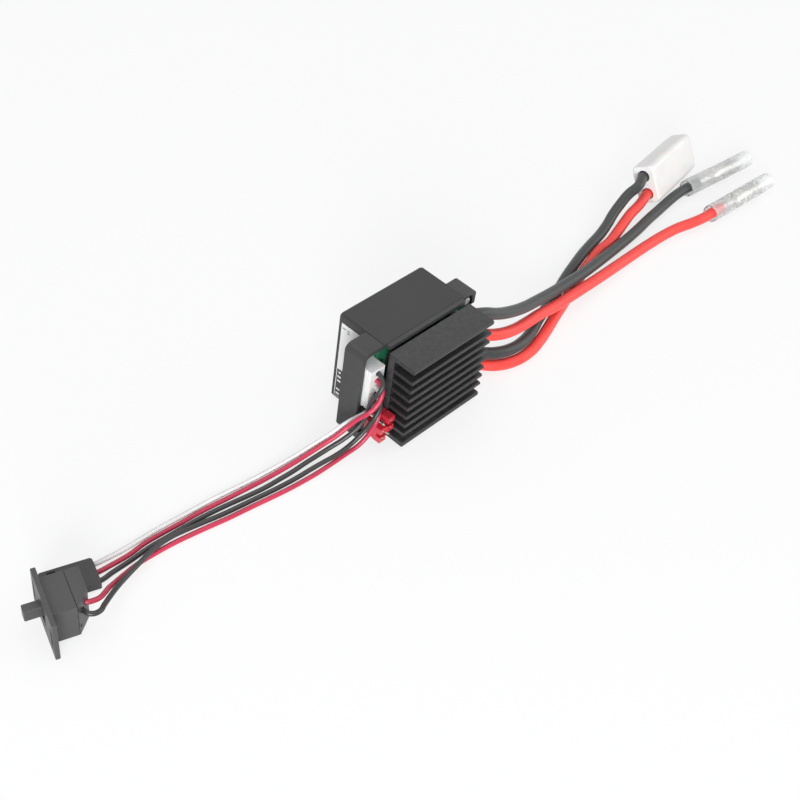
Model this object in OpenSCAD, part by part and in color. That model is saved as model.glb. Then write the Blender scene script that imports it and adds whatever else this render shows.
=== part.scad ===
// Brushed-motor electronic speed controller with heat sink, leads, plugs and power switch.
// Millimetres, +Z up. The controller lies on the long side of its case: X runs along the
// fins (signal end at -X, power end at +X), fin tips face -Y, the mounting face is at +Y.
// The origin is under the middle of the controller itself.

/* [Case] */
// Length of the open collar that holds the board
collar_l = 43.6; // [43.4:0.2:53]
// Height of the case as it lies
case_h = 30; // [29.5:0.5:36]
// Depth of the collar behind its rim
collar_depth = 6.6; // [5.6:0.2:9]
// Length of the deeper box behind the collar
box_l = 31.2; // [27:0.2:34]
// Depth of the box behind the collar
box_depth = 9.2; // [8.6:0.2:14]
// Offset of the box from the middle of the collar
box_shift = 1; // [0:0.2:1.6]
// Wall thickness of the case
wall = 1.2; // [0.9:0.1:1.6]
// Corner radius of the collar
collar_r = 2; // [1.2:0.1:3]

/* [Circuit board] */
// Board thickness
board_t = 1.6; // [1:0.1:2]
// Depth of the board face below the collar rim
board_drop = 0.8; // [0.6:0.1:1.2]
// Gap between board edge and case wall
board_gap = 0.25; // [0.15:0.05:0.5]

/* [Heat sink] */
// Length of the heat sink along its fins
sink_l = 31; // [26:0.5:31.5]
// Width of the heat sink across its fins
sink_w = 28; // [25:0.5:28]
// Distance from the back of the base to the fin tips
sink_h = 9; // [7:0.5:16]
// Thickness of the base plate
sink_base = 2.2; // [1.8:0.1:3]
// Number of fins, the two outer ones included
fin_count = 9; // [5:1:11]
// Thickness of an inner fin
fin_t = 1.1; // [0.8:0.1:1.4]
// Thickness of an outer fin
outer_fin_t = 1.5; // [1:0.1:2]
// Gap from the case rim to the back of the heat sink
sink_gap = 2.4; // [2.2:0.1:3]

/* [Signal connectors] */
// Pitch of the five-way signal plug
plug_pitch = 2.5; // [2:0.05:2.54]
// Height of the lowest way of the signal plug
plug_z = 13.7; // [13.5:0.1:14]
// Pitch of the mode-jumper pins
jumper_pitch = 2.54; // [2.4:0.02:2.6]
// Height of the lowest mode-jumper pin
jumper_z = 4.8; // [4.4:0.1:4.9]
// Length of a jumper cap
cap_l = 6; // [5:0.2:7]

/* [Leads] */
// Outer diameter of a power lead
lead_d = 3.5; // [3:0.1:3.5]
// Outer diameter of a signal wire
wire_d = 1.3; // [1:0.05:1.3]

/* [Motor sockets] */
// Length of the clear sleeve
sleeve_l = 34; // [30:0.5:40]
// Outer diameter of the clear sleeve
sleeve_d = 6; // [5.8:0.1:6]
// Wall thickness of the clear sleeve
sleeve_wall = 0.5; // [0.4:0.05:0.6]
// Inner diameter of the bullet socket
socket_bore = 3.95; // [3.5:0.05:4.05]
// Length of the socket barrel
socket_l = 13; // [10:0.5:15]

/* [Battery plug] */
// Length of the housing
battery_plug_l = 29; // [24:0.5:34]
// Width of the housing
battery_plug_w = 13.6; // [12.6:0.1:13.8]
// Height of the housing
battery_plug_h = 8; // [7.6:0.1:8]
// Distance between its two contacts
battery_pitch = 6.3; // [6.2:0.05:6.4]

/* [Receiver plug] */
// Length of the housing
servo_plug_l = 14; // [12:0.2:16]
// Width of the housing
servo_plug_w = 7.7; // [7.4:0.1:7.8]
// Thickness of the housing
servo_plug_t = 2.5; // [2.4:0.05:2.6]

/* [Switch] */
// Depth of the switch housing behind its flange
switch_depth = 9; // [9:0.2:12]
// Width of the switch housing
switch_w = 11.1; // [11:0.1:12]
// Height of the switch housing
switch_h = 10.4; // [10:0.1:12]
// Overhang of the flange at the far end
ear_far = 2.3; // [2:0.1:2.4]
// Overhang of the flange at the near end
ear_near = 3.6; // [3.4:0.1:4.4]
// Height of the flange
flange_h = 12.8; // [12.6:0.1:14]
// Thickness of the flange
flange_t = 1.2; // [0.8:0.1:1.6]
// Width of the slider knob
knob_w = 2.4; // [2:0.1:3]
// Height of the slider knob
knob_h = 3.6; // [3:0.1:4.5]
// Distance the knob stands out of the flange
knob_out = 4; // [3:0.1:5]
// Travel of the slider
slider_travel = 2.4; // [2:0.1:2.6]

/* [Hidden] */
$fn = 48;

// Stations along Y, from the fin tips at -Y to the mounting face at +Y
total_depth = sink_h + sink_gap + collar_depth + box_depth;
tip_y = -total_depth / 2;
sink_back = tip_y + sink_h;
rim_y = sink_back + sink_gap;
shoulder_y = rim_y + collar_depth;
mount_y = shoulder_y + box_depth;
board_front = rim_y + board_drop;
board_back = board_front + board_t;
shelf_y = shoulder_y - wall;

// Stations along X
collar_x = collar_l / 2;
box_x0 = box_shift - box_l / 2;
box_x1 = box_shift + box_l / 2;
signal_x = -collar_x + wall + 2.8;
sink_x0 = signal_x + 3;
sink_x1 = sink_x0 + sink_l;
box_r = 1;
lip = 1.45;                       // extra height of the long walls between the flanges
lip_x0 = box_x0 + 1.1;
lip_x1 = box_x1 - 1.1;

// Board and its screws
board_x = collar_x - wall - board_gap;
board_z0 = wall + board_gap;
board_z1 = case_h - wall - board_gap;
post_r = 1.2;
post_inset = 1.7;
post_x = board_x - post_inset;
rest_spots = [[-post_x, board_z0 + 1.3], [box_x0 + 0.6, board_z1 - 1.3]];
screw_r = 0.6;
screw_head_r = 1.15;

// Heat sink
fin_gap = 0.85;                   // extra space beside each outer fin
sink_zc = case_h / 2 + 0.3;
sink_z0 = sink_zc - sink_w / 2;
inner_pitch = (sink_w - outer_fin_t - 2 * fin_gap) / (fin_count - 1);
sink_screw_r = 1.2;
sink_screw_x = [-4.6, 4.6];
sink_xc = (sink_x0 + sink_x1) / 2;

// Power transistors on a grid under the heat sink
pad_t = 0.8;
pad_margin = 1.5;
transistor = [6.6, board_front - sink_back - pad_t, 6.1];
transistor_x = [-9.2, 0, 9.2];
transistor_z = [-6.6, 6.6];

// Filter capacitors in the box
cap_r = 4;
cap_y = mount_y - wall - cap_r - 0.3;
cap_z0 = wall + 4.8;
cap_z1 = case_h - wall - 6.8;
cap_x = [box_shift - 7, box_shift + 3];

// Signal plug and header
ways = 5;
way_z = [for (i = [ways - 1:-1:0]) plug_z + i * plug_pitch];
plug_zc = plug_z + (ways - 1) * plug_pitch / 2;
plug_face_y = -4.2;
plug_head = [5, 1.25, ways * plug_pitch + 0.4];
plug_body = [4, plug_head[2] - 0.8];
header_size = [5.1, plug_head[2]];
header_front = plug_face_y + plug_head[1] + 0.05;
header_back = shelf_y - 1;
header_floor = header_back - 1.3;
socket_fit = 0.05;
pin_side = 0.64;
pin_hole = 0.7;
wire_hole_r = wire_d / 2 + 0.1;
plug_bore_r = 0.75;
crimp_y = plug_face_y + 0.9;      // where a wire ends inside the signal plug

// Mode jumpers
jumper_x = signal_x + 0.13;
jumper_rows = [for (i = [2:-1:0]) jumper_z + i * jumper_pitch];
jumper_cols = [jumper_x - jumper_pitch / 2, jumper_x + jumper_pitch / 2];
jumper_base_t = 2.5;
cap_w = 2.4;
cap_face = board_front - jumper_base_t - 0.05;
pin_tip = cap_face - cap_l + 0.05;
upper_cap = [jumper_cols[1], (jumper_rows[0] + jumper_rows[1]) / 2];
lower_cap = [jumper_cols[0], (jumper_rows[1] + jumper_rows[2]) / 2];

// Switch, placed by the far corner of its flange and turned about the vertical
switch_spot = [-114, 6];
switch_turn = -19;
body_z0 = (flange_h - switch_h) / 2;
body_z1 = body_z0 + switch_h;
switch_zc = flange_h / 2;
housing_split = 5.6;
rear_flat = switch_w - 4.3;
shell = 1;
rest_knob = (switch_w - slider_travel) / 2;
knob_w0 = rest_knob - knob_w / 2;
knob_w1 = rest_knob + knob_w / 2;
slider_half = 3.1;
switch_wire_z = switch_zc + 1.6;
red_share = 0.21;                 // where the two wires leave along the slanted wall
black_share = 0.61;
slant = [switch_depth - housing_split, switch_w - rear_flat];
slant_l = norm(slant);
slant_turn = atan2(slant[0], slant[1]);
wire_in = 1.2;                    // length of wire inside the wall
base_k = 3.4;
base_t = 1.2;

// Receiver plug, parallel to the switch
servo_pitch = 2.55;
servo_end = 14.1;
servo_row = 4.15;                 // distance of its middle way beyond the switch corner
servo_side = 0.3;
servo_z = servo_plug_t / 2;
servo_w = [servo_row + servo_pitch, servo_row, servo_row - servo_pitch];

// Power leads and what is on them
lead_start = sink_x1 + 1;
lead_z = [for (share = [22.4, 15, 8, 3.5]) share * case_h / 30];
screw_spots = [[post_x, (lead_z[1] + lead_z[2]) / 2], [post_x, board_z1 - post_inset]];
lead_y = board_front - 2.2;
black_socket = [148.6, 6, 3, -5];
red_socket = [143, -7.8, 3, -3];
strip = 6;                        // length of lead inside the sleeve
sleeve_ir = sleeve_d / 2 - sleeve_wall;
socket_r = socket_bore / 2 + 0.375;
neck_l = 2;
battery_spot = [131.6, 12.9];
battery_turn = 8;                 // turned a little towards the mounting face
battery_roll = 60;                // and lying on one edge
battery_z = (battery_plug_w / 2 - 0.6) * sin(battery_roll)
  + (battery_plug_h / 2 - 0.6) * cos(battery_roll) + 0.6;
battery_in = 4;                   // length of lead inside the housing
battery_hole_r = lead_d / 2 + 0.35;

// Routes: points on the axis of each cord, from the controller outwards
receiver_white_route = [
  [-17.8, -3.3, 18.7], [-17.8, -4.2, 18.7], [-18.1, -5.7, 18.4], [-18.9, -6.9, 17.4],
  [-19.9, -7.2, 15.9], [-20.7, -6.3, 14.1], [-21.7, -5.1, 12.3], [-23.5, -3.7, 10.6],
  [-25.5, -2.4, 8.9], [-27.9, -1.4, 7.3], [-30.6, -0.5, 5.7], [-33.6, 0.5, 4.2], [-36.9, 1.3, 3],
  [-40.4, 2, 2.1], [-44.2, 2.7, 1.4], [-48.1, 3.3, 1], [-52.2, 3.8, 0.8], [-56.5, 4.4, 0.7],
  [-60.9, 5, 0.7], [-65.4, 5.5, 0.7], [-70.1, 5.9, 0.7], [-74.8, 6.3, 0.7], [-79.8, 6.7, 0.7],
  [-84.8, 6.9, 0.7], [-90, 7, 0.8], [-94.4, 7.2, 1.1], [-98.49, 7.74, 1.25], [-99.62, 8.14, 1.25]];
receiver_red_route = [
  [-17.8, -3.3, 21.2], [-17.8, -4.2, 21.2], [-18, -5.8, 20.9], [-18.7, -7.3, 20], [-19.9, -8, 18.4],
  [-21.6, -8, 16.6], [-23.3, -7.3, 14.9], [-24.5, -5.7, 12.7], [-25.6, -4.3, 10.3], [-27.6, -3.3, 8.1],
  [-30.2, -2.4, 6.3], [-33.2, -1.4, 4.8], [-36.4, -0.5, 3.4], [-40, 0.2, 2.4], [-43.8, 0.9, 1.6],
  [-47.8, 1.5, 1.1], [-52, 2.1, 0.8], [-56.3, 2.6, 0.8], [-60.8, 3.2, 0.7], [-65.4, 3.8, 0.7],
  [-70.1, 4.3, 0.7], [-75, 4.6, 0.7], [-80, 5, 0.7], [-85.2, 5.3, 0.7], [-90.2, 4.9, 0.8],
  [-95.4, 5, 1.1], [-99.32, 5.33, 1.25], [-100.45, 5.72, 1.25]];
receiver_black_route = [
  [-17.8, -3.3, 23.7], [-17.8, -4.2, 23.7], [-18, -5.9, 23.4], [-18.8, -7.3, 22.4], [-20, -7.5, 20.7],
  [-21.1, -6.7, 18.6], [-21.8, -6.3, 16.1], [-22.6, -6.3, 13.3], [-23.9, -6, 10.6], [-26.1, -5.4, 8.3],
  [-28.7, -4.4, 6.3], [-31.7, -3.2, 4.5], [-35, -2.2, 3], [-38.7, -1.5, 2], [-42.7, -1.1, 1.3],
  [-46.9, -0.7, 1], [-51.2, -0.3, 0.8], [-55.7, 0.4, 0.7], [-60.2, 1.2, 0.7], [-65, 2, 0.7],
  [-69.9, 2.6, 0.7], [-74.9, 3, 0.7], [-80.1, 3.3, 0.7], [-85.4, 3.6, 0.7], [-90.8, 3.3, 0.8],
  [-96.3, 3.1, 1.1], [-100.15, 2.92, 1.25], [-101.28, 3.31, 1.25]];
switch_black_route = [
  [-17.8, -3.3, 16.2], [-17.8, -4.2, 16.2], [-18.1, -6, 15.9], [-18.9, -7.5, 14.7],
  [-20.4, -7.9, 12.9], [-21.8, -7.5, 10.6], [-23.3, -7, 8.2], [-25.4, -6.4, 6], [-28.2, -5.9, 4.3],
  [-31.4, -5.2, 3], [-34.9, -4.4, 2.2], [-38.7, -3.7, 1.5], [-42.7, -3.2, 1], [-46.9, -2.7, 0.8],
  [-51.2, -2.1, 0.7], [-55.7, -1.4, 0.7], [-60.4, -0.7, 0.7], [-65.2, 0, 0.8], [-70.1, 0.8, 1.1],
  [-75.2, 1.5, 1.6], [-80.5, 1.9, 2.1], [-85.9, 1.3, 2.6], [-91.2, -0.2, 3.2], [-96.1, -1.8, 3.9],
  [-99.8, -3.3, 4.7], [-103, -5, 5.7], [-105.6, -6.6, 6.8], [-108, -7.9, 7.6], [-110, -7.3, 8],
  [-110.6, -5.4, 8], [-111, -4.2, 8]];
switch_red_route = [
  [-17.8, -3.3, 13.7], [-17.8, -4.2, 13.7], [-18.1, -5.9, 13.4], [-19.1, -7.5, 12.3],
  [-20.3, -8, 10.3], [-21.4, -7.8, 7.9], [-22.9, -7.4, 5.5], [-25, -6.9, 3.6], [-27.9, -6.2, 2.3],
  [-31.2, -5.7, 1.4], [-34.8, -5.4, 0.9], [-38.6, -5.2, 0.7], [-42.6, -4.9, 0.7], [-46.7, -4.5, 0.7],
  [-51, -3.9, 0.7], [-55.4, -3.2, 0.7], [-59.9, -2.5, 0.7], [-64.7, -1.8, 0.7], [-69.5, -0.9, 0.7],
  [-74.5, 0, 0.7], [-79.6, 0.8, 0.7], [-85, 1.2, 0.8], [-90.4, 1, 1.4], [-95.5, -0.1, 2.5],
  [-98.9, -1.3, 3.8], [-101.3, -2.4, 5.1], [-103.3, -3.6, 6.2], [-105.3, -4.6, 7.2],
  [-107.1, -4.7, 7.8], [-108.6, -4.1, 8], [-109.3, -3.1, 8]];
motor_black_route = [
  [17.2, -3.6, 22.4], [19, -3.6, 22.4], [24.1, -4.2, 21], [30.5, -4.9, 17.9], [37.2, -5, 15.1],
  [44, -4.7, 12.8], [51, -4, 10.9], [58.1, -3.3, 9.1], [65.3, -2.6, 7.6], [72.6, -2, 6.5],
  [79.8, -1.4, 5.5], [87.1, -0.6, 4.7], [94.4, 0.4, 3.7], [101.6, 1.3, 3], [108.9, 2.2, 2.5],
  [116.3, 3.2, 2.2], [123.7, 4.4, 2], [131.2, 5.3, 1.95], [137, 5.9, 2.2], [142.8, 6.2, 2.7],
  [148.6, 6, 3], [154.58, 5.48, 3]];
motor_red_route = [
  [17.2, -3.6, 15], [19, -3.6, 15], [23.8, -5, 13.7], [30.1, -6.8, 11.7], [36.8, -7.3, 9.9],
  [43.5, -7, 8.7], [50.5, -6.5, 7.7], [57.4, -6.3, 6.5], [64.5, -5.9, 5.6], [71.5, -5.5, 4.8],
  [78.5, -5.1, 4], [85.6, -4.7, 3.3], [92.6, -4.3, 2.7], [99.7, -4, 2.3], [106.8, -3.8, 2.1],
  [113.9, -3.8, 2], [121, -4.1, 2.1], [128.1, -5, 2.3], [134, -6.6, 2.7], [139, -7.6, 3],
  [143, -7.8, 3], [149, -8.1, 3]];
battery_black_route = [
  [17.2, -3.6, 8], [19, -3.6, 8], [23.5, -5.2, 7.2], [29, -8, 6], [35, -9.3, 5], [41.2, -9, 4.3],
  [47.5, -7.2, 3.5], [53.8, -4.7, 2.8], [59.9, -2.8, 2.4], [66, -0.8, 2.1], [72.1, 1.2, 2],
  [78.2, 3.3, 1.9], [84.4, 5.15, 1.9], [90.5, 6.85, 1.9], [96.8, 8.2, 2], [103.8, 9.5, 2.3],
  [109.2, 10.9, 3], [113.4, 12.1, 4.3], [118, 12.9, 6], [122.4, 13.2, 8], [125.9, 12.6, 9.8],
  [131.38, 14.46, 10.4], [135.34, 15.02, 10.4]];
battery_red_route = [
  [17.2, -3.6, 3.5], [19, -3.6, 3.5], [23.2, -5.1, 3], [28.8, -9.2, 2.2], [34.9, -11.4, 1.9],
  [41.2, -11.7, 1.8], [47.5, -10.5, 1.8], [53.8, -8.6, 1.8], [60, -6.5, 1.8], [66, -4.6, 1.8],
  [72.1, -2.6, 1.8], [78.1, -0.6, 1.8], [84.2, 1.3, 1.8], [90.3, 3, 1.8], [96.5, 4.5, 1.9],
  [103.2, 5.1, 2], [109, 6.5, 2.3], [114.4, 7.9, 2.8], [119.4, 9, 3.6], [124.8, 9.6, 4.5],
  [131.82, 11.34, 4.94], [135.78, 11.9, 4.94]];
cord_sides = 8;
steps = 2;                        // rings for each stretch between two route points

// ---- Helpers -------------------------------------------------------------

// Box given by its two corners
module slab(a, b) { translate(a) cube(b - a); }

// Prism along +Y with rounded corners seen from the front
module y_prism(x0, x1, z0, z1, y0, y1, r) {
  translate([(x0 + x1) / 2, y0, (z0 + z1) / 2]) rotate([-90, 0, 0]) linear_extrude(y1 - y0) {
    square([x1 - x0 - 2 * r, z1 - z0], center = true);
    square([x1 - x0, z1 - z0 - 2 * r], center = true);
    for (sx = [-1, 1], sz = [-1, 1])
      translate([sx * ((x1 - x0) / 2 - r), sz * ((z1 - z0) / 2 - r)]) circle(r);
  }
}

// Cylinder along +Y from y0 to y1
module y_rod(x, z, y0, y1, r) { translate([x, y0, z]) rotate([-90, 0, 0]) cylinder(h = y1 - y0, r = r); }

// Cylinder along +X from x0 to x1
module x_rod(y, z, x0, x1, r) { translate([x0, y, z]) rotate([0, 90, 0]) cylinder(h = x1 - x0, r = r); }

// Square bar along +Y
module y_bar(x, z, y0, y1, side) { slab([x - side / 2, y0, z - side / 2], [x + side / 2, y1, z + side / 2]); }

// Point on a smooth curve between route points i and i + 1, t running from 0 to 1
function before(p, i) = i > 0 ? p[i - 1] : 2 * p[0] - p[1];
function after(p, i) = i < len(p) - 2 ? p[i + 2] : 2 * p[len(p) - 1] - p[len(p) - 2];
function on_curve(p, i, t) = 0.5 * (2 * p[i] + (p[i + 1] - before(p, i)) * t
  + (2 * before(p, i) - 5 * p[i] + 4 * p[i + 1] - after(p, i)) * t * t
  + (3 * p[i] - before(p, i) - 3 * p[i + 1] + after(p, i)) * t * t * t);
function smooth(p) = concat([for (i = [0:len(p) - 2], k = [0:steps - 1]) on_curve(p, i, k / steps)],
  [p[len(p) - 1]]);
function unit(v) = v / norm(v);
function heading(c, i) = unit(c[min(i + 1, len(c) - 1)] - c[max(i - 1, 0)]);
function ring(c, i, r, t) = let (side = unit(cross(t, [0, 0, 1])), up = cross(side, t))
  [for (k = [0:cord_sides - 1]) let (a = (k + 0.5) * 360 / cord_sides)
    c[i] + r * (cos(a) * side + sin(a) * up)];

// Route whose two points at each end are a, b and c, e; its free points follow the ends
function fade(k, whole, run) = max(0, min(1, 1 - (k - whole) / run));
function led(r, a, b, c, e) = let (m = len(r) - 2) concat([a, b],
  [for (i = [2:m - 1]) r[i] + (b - r[1]) * fade(i - 1, 7, 7) + (c - r[m]) * fade(m - i, 1, 9)], [c, e]);

// Round cord of diameter d along a route, its two end faces square to its end stretches
module cord(p, d) {
  c = smooth(p);
  n = cord_sides;
  last = len(c) - 1;
  points = [for (i = [0:last]) each ring(c, i, d / 2,
    i == 0 ? unit(p[1] - p[0]) : i == last ? unit(p[len(p) - 1] - p[len(p) - 2]) : heading(c, i))];
  walls = [for (i = [0:last - 1], k = [0:n - 1])
    [i * n + k, i * n + (k + 1) % n, (i + 1) * n + (k + 1) % n, (i + 1) * n + k]];
  polyhedron(points, concat(walls, [[for (k = [n - 1:-1:0]) k]], [[for (k = [0:n - 1]) last * n + k]]),
    convexity = 10);
}

// Places a child drawn along +X from the origin at a socket's spot [x, y, z, turn]
module at_socket(s) { translate([s[0], s[1], s[2]]) rotate([0, 0, s[3]]) children(); }

// Switch frame: +X to the rear, +Y to the far side, so widths run along -Y
module at_switch() { translate([switch_spot[0], switch_spot[1], 0]) rotate([0, 0, switch_turn]) children(); }

// Block in the switch frame: depth k, width w towards the near side, height z
module sw_block(k, w, z) { slab([k[0], -w[1], z[0]], [k[1], -w[0], z[1]]); }

// Place in the common frame of a depth, width and height of the switch
function sw_spot(k, w, z) = [switch_spot[0] + k * cos(switch_turn) + w * sin(switch_turn),
  switch_spot[1] + k * sin(switch_turn) - w * cos(switch_turn), z];

// Depth and width of the place a share of the way along the slanted wall, a distance out of it
function slant_spot(share, out) = [switch_depth - share * slant[0] + out * slant[1] / slant_l,
  rear_flat + share * slant[1] + out * slant[0] / slant_l];

// Places a child drawn along +X out of the slanted wall
module at_slant(share, out) {
  p = slant_spot(share, out);
  at_switch() translate([p[0], -p[1], switch_wire_z]) rotate([0, 0, -slant_turn]) children();
}

// ---- Case and board ------------------------------------------------------

module case_shell() {
  color("#4a4a4b") difference() {
    union() {
      y_prism(-collar_x, collar_x, 0, case_h, rim_y, shoulder_y, collar_r);
      y_prism(box_x0, box_x1, 0, case_h, shoulder_y - 0.5, mount_y, box_r);
      slab([lip_x0, rim_y - lip, case_h - wall], [lip_x1, rim_y + 0.5, case_h]);
      slab([lip_x0, rim_y - lip, 0], [lip_x1, rim_y + 0.5, wall]);
    }
    difference() {
      union() {
        y_prism(-collar_x + wall, collar_x - wall, wall, case_h - wall, rim_y - 1, shelf_y,
                collar_r - wall / 2);
        slab([lip_x0 - 1, rim_y - lip - 1, wall], [lip_x1 + 1, rim_y, case_h - wall]);
        y_prism(box_x0 + wall, box_x1 - wall, wall, case_h - wall, shelf_y - 1, mount_y - wall, box_r / 2);
      }
      for (s = concat(screw_spots, rest_spots)) y_rod(s[0], s[1], board_back, shelf_y + 1, post_r);
    }
    for (s = screw_spots) y_rod(s[0], s[1], board_back - 1, shelf_y - 0.3, screw_r);
    slab([collar_x - 2 * wall, rim_y - 1, lead_z[3] - 2.2], [collar_x + 1, board_front, lead_z[0] + 2.6]);
  }
}

module label_sticker() {
  color("#3c3c3d") slab([box_x0 + 0.3, rim_y - 0.1, case_h], [box_x1 - 0.3, mount_y - 0.4, case_h + 0.15]);
}

module end_sticker() {
  color("white") slab([box_x0 - 0.15, shoulder_y + 0.4, box_r + 0.3], [box_x0, mount_y - box_r, case_h - 2.4]);
}

module circuit_board() {
  color("#12603a") difference() {
    y_prism(-board_x, board_x, board_z0, board_z1, board_front, board_back, 1);
    slab([signal_x - header_size[0] / 2 - 1, board_front - 1, plug_zc - header_size[1] / 2 - 0.15],
         [signal_x + header_size[0] / 2 + 0.15, board_back + 1, board_z1 + 1]);
    for (s = screw_spots) y_rod(s[0], s[1], board_front - 1, board_back + 1, screw_r + 0.2);
    for (x = sink_screw_x) y_rod(sink_xc + x, sink_zc, board_front - 1, board_back + 1, sink_screw_r + 0.2);
    for (x = jumper_cols, z = jumper_rows) y_rod(x, z, board_front - 1, board_back + 1, 0.5);
  }
}

module board_screws() {
  color("silver") for (s = screw_spots) difference() {
    union() {
      y_rod(s[0], s[1], board_front - 0.6, board_front, screw_head_r);
      y_rod(s[0], s[1], board_front - 0.1, shelf_y - 0.8, screw_r - 0.02);
    }
    y_bar(s[0], s[1], board_front - 0.9, board_front - 0.25, 0.5);
  }
}

module heat_sink() {
  round_y = fin_t / 2;
  color("#1c1c1d") difference() {
    union() {
      slab([sink_x0, sink_back - sink_base, sink_z0], [sink_x1, sink_back, sink_z0 + sink_w]);
      for (i = [0:fin_count - 1])
        if (i == 0 || i == fin_count - 1) {
          z = i == 0 ? sink_z0 : sink_z0 + sink_w - outer_fin_t;
          slab([sink_x0, tip_y + round_y, z], [sink_x1, sink_back - sink_base, z + outer_fin_t]);
          slab([sink_x0, tip_y, z + round_y], [sink_x1, tip_y + 2 * round_y, z + outer_fin_t - round_y]);
          for (s = [z + round_y, z + outer_fin_t - round_y])
            x_rod(tip_y + round_y, s, sink_x0, sink_x1, round_y);
        } else {
          z = sink_zc + (i - (fin_count - 1) / 2) * inner_pitch;
          slab([sink_x0, tip_y + round_y, z - fin_t / 2], [sink_x1, sink_back - sink_base, z + fin_t / 2]);
          x_rod(tip_y + round_y, z, sink_x0, sink_x1, fin_t / 2);
        }
    }
    for (x = sink_screw_x)
      y_rod(sink_xc + x, sink_zc, sink_back - sink_base + 0.4, sink_back + 1, sink_screw_r + 0.02);
  }
}

module heat_sink_screws() {
  color("silver") for (x = sink_screw_x) difference() {
    union() {
      y_rod(sink_xc + x, sink_zc, board_back, board_back + 1.3, 2.2);
      y_rod(sink_xc + x, sink_zc, sink_back - sink_base + 0.6, board_back + 0.1, sink_screw_r - 0.02);
    }
    y_bar(sink_xc + x, sink_zc, board_back + 0.6, board_back + 2, 1.4);
  }
}

module thermal_pad() {
  color("gray") difference() {
    slab([sink_x0 + pad_margin, sink_back, sink_z0 + pad_margin],
         [sink_x1 - pad_margin, sink_back + pad_t, sink_z0 + sink_w - pad_margin]);
    for (x = sink_screw_x)
      y_rod(sink_xc + x, sink_zc, sink_back - 1, sink_back + pad_t + 1, sink_screw_r + 0.15);
  }
}

module power_transistors() {
  t = transistor;
  color("#202022") for (x = transistor_x, z = transistor_z) translate([sink_xc + x, 0, sink_zc + z]) {
    slab([-t[0] / 2, sink_back + pad_t, -t[2] / 2], [t[0] / 2, board_front, t[2] / 2]);
    for (i = [-1, 1])
      slab([i * 2.3 - 0.45, board_front - 0.7, t[2] / 2], [i * 2.3 + 0.45, board_front, t[2] / 2 + 0.9]);
  }
}

module chip_components() {
  color("#8a6a44") {
    for (x = [-1.7, 0.9]) slab([signal_x + x - 0.5, board_front - 0.6, plug_zc - header_size[1] / 2 - 0.95],
                               [signal_x + x + 0.5, board_front, plug_zc - header_size[1] / 2 - 0.35]);
    for (i = [0:5]) translate([sink_xc + 0.6 + i * 1.9, board_back, case_h - wall - 3.6]) cube([1, 0.6, 1.8]);
    for (i = [0:3]) translate([sink_xc + 1.2 + i * 2.4, board_back, wall + 4.4]) cube([0.8, 0.5, 1.6]);
  }
}

module microcontroller() {
  color("#1b1b1d") translate([sink_xc + 11.3, board_back, sink_zc + 6.2]) {
    slab([-3.5, 0.1, -3.5], [3.5, 1.4, 3.5]);
    for (i = [0:6]) slab([-4.3, 0, -2.9 + i * 0.85], [4.3, 0.3, -2.5 + i * 0.85]);
  }
}

module voltage_regulators() {
  color("#232325") for (z = [-6.4, 7.6]) translate([box_shift - 10.8, board_back, sink_zc + z]) {
    slab([-3.2, 0.15, -2.6], [3.2, 2.3, 2.6]);
    slab([-2.7, 0, 2.2], [2.7, 0.5, 3.6]);
    for (i = [-1, 1]) slab([i * 2.3 - 0.4, 0, -3.8], [i * 2.3 + 0.4, 0.6, -2]);
  }
}

module filter_capacitors() {
  color("#26262c") for (x = cap_x) translate([x, cap_y, 0]) {
    translate([0, 0, cap_z0]) cylinder(h = 1.2, r = cap_r);
    translate([0, 0, cap_z0 + 1.1]) cylinder(h = 0.8, r = cap_r - 0.35);
    translate([0, 0, cap_z0 + 1.8]) cylinder(h = cap_z1 - cap_z0 - 1.8, r = cap_r);
  }
}

module capacitor_leads() {
  bend_z = cap_z0 - 1.8;
  color("silver") for (x = cap_x, side = [-1.25, 1.25]) translate([x + side, 0, 0]) {
    translate([0, cap_y, bend_z]) cylinder(h = cap_z0 - bend_z, r = 0.35, $fn = 16);
    translate([0, cap_y, bend_z]) sphere(r = 0.35, $fn = 16);
    y_rod(0, bend_z, board_back, cap_y, 0.35, $fn = 16);
  }
}

module solder_joints() {
  color("#c9ccd0") for (z = lead_z) {
    slab([lead_start - 0.9, board_front - 0.2, z - 1], [lead_start + 1.6, board_front, z + 1]);
    slab([lead_start - 0.75, lead_y - 1, z - 1], [lead_start, board_front - 0.1, z + 1]);
    x_rod(lead_y, z, lead_start - 0.75, lead_start, 1.3);
  }
}

// ---- Signal header and plug ----------------------------------------------

module signal_header() {
  hx = header_size[0] / 2;
  hz = header_size[1] / 2;
  color("#e9e7df") difference() {
    union() {
      slab([signal_x - hx, header_front, plug_zc - hz], [signal_x + hx, header_back, plug_zc + hz]);
      slab([signal_x, board_back, plug_zc - hz], [signal_x + hx + 0.65, board_back + 0.9, plug_zc + hz]);
    }
    slab([signal_x - plug_body[0] / 2 - socket_fit, header_front - 1, plug_zc - plug_body[1] / 2 - socket_fit],
         [signal_x + plug_body[0] / 2 + socket_fit, header_floor, plug_zc + plug_body[1] / 2 + socket_fit]);
    for (z = way_z) y_bar(signal_x, z, header_floor - 1, header_back + 1, pin_hole);
  }
}

module header_pins() {
  tail_y = header_back + 0.15;
  foot_x = signal_x + header_size[0] / 2 + 0.85;
  color("gold") for (z = way_z) {
    y_bar(signal_x, z, crimp_y + 1.45, tail_y + 0.35, pin_side);
    slab([signal_x, tail_y, z - pin_side / 2], [foot_x + 0.35, tail_y + 0.35, z + pin_side / 2]);
    slab([foot_x, board_back, z - pin_side / 2], [foot_x + 0.35, tail_y + 0.35, z + pin_side / 2]);
    slab([foot_x, board_back, z - pin_side / 2], [foot_x + 1, board_back + 0.3, z + pin_side / 2]);
  }
}

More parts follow.
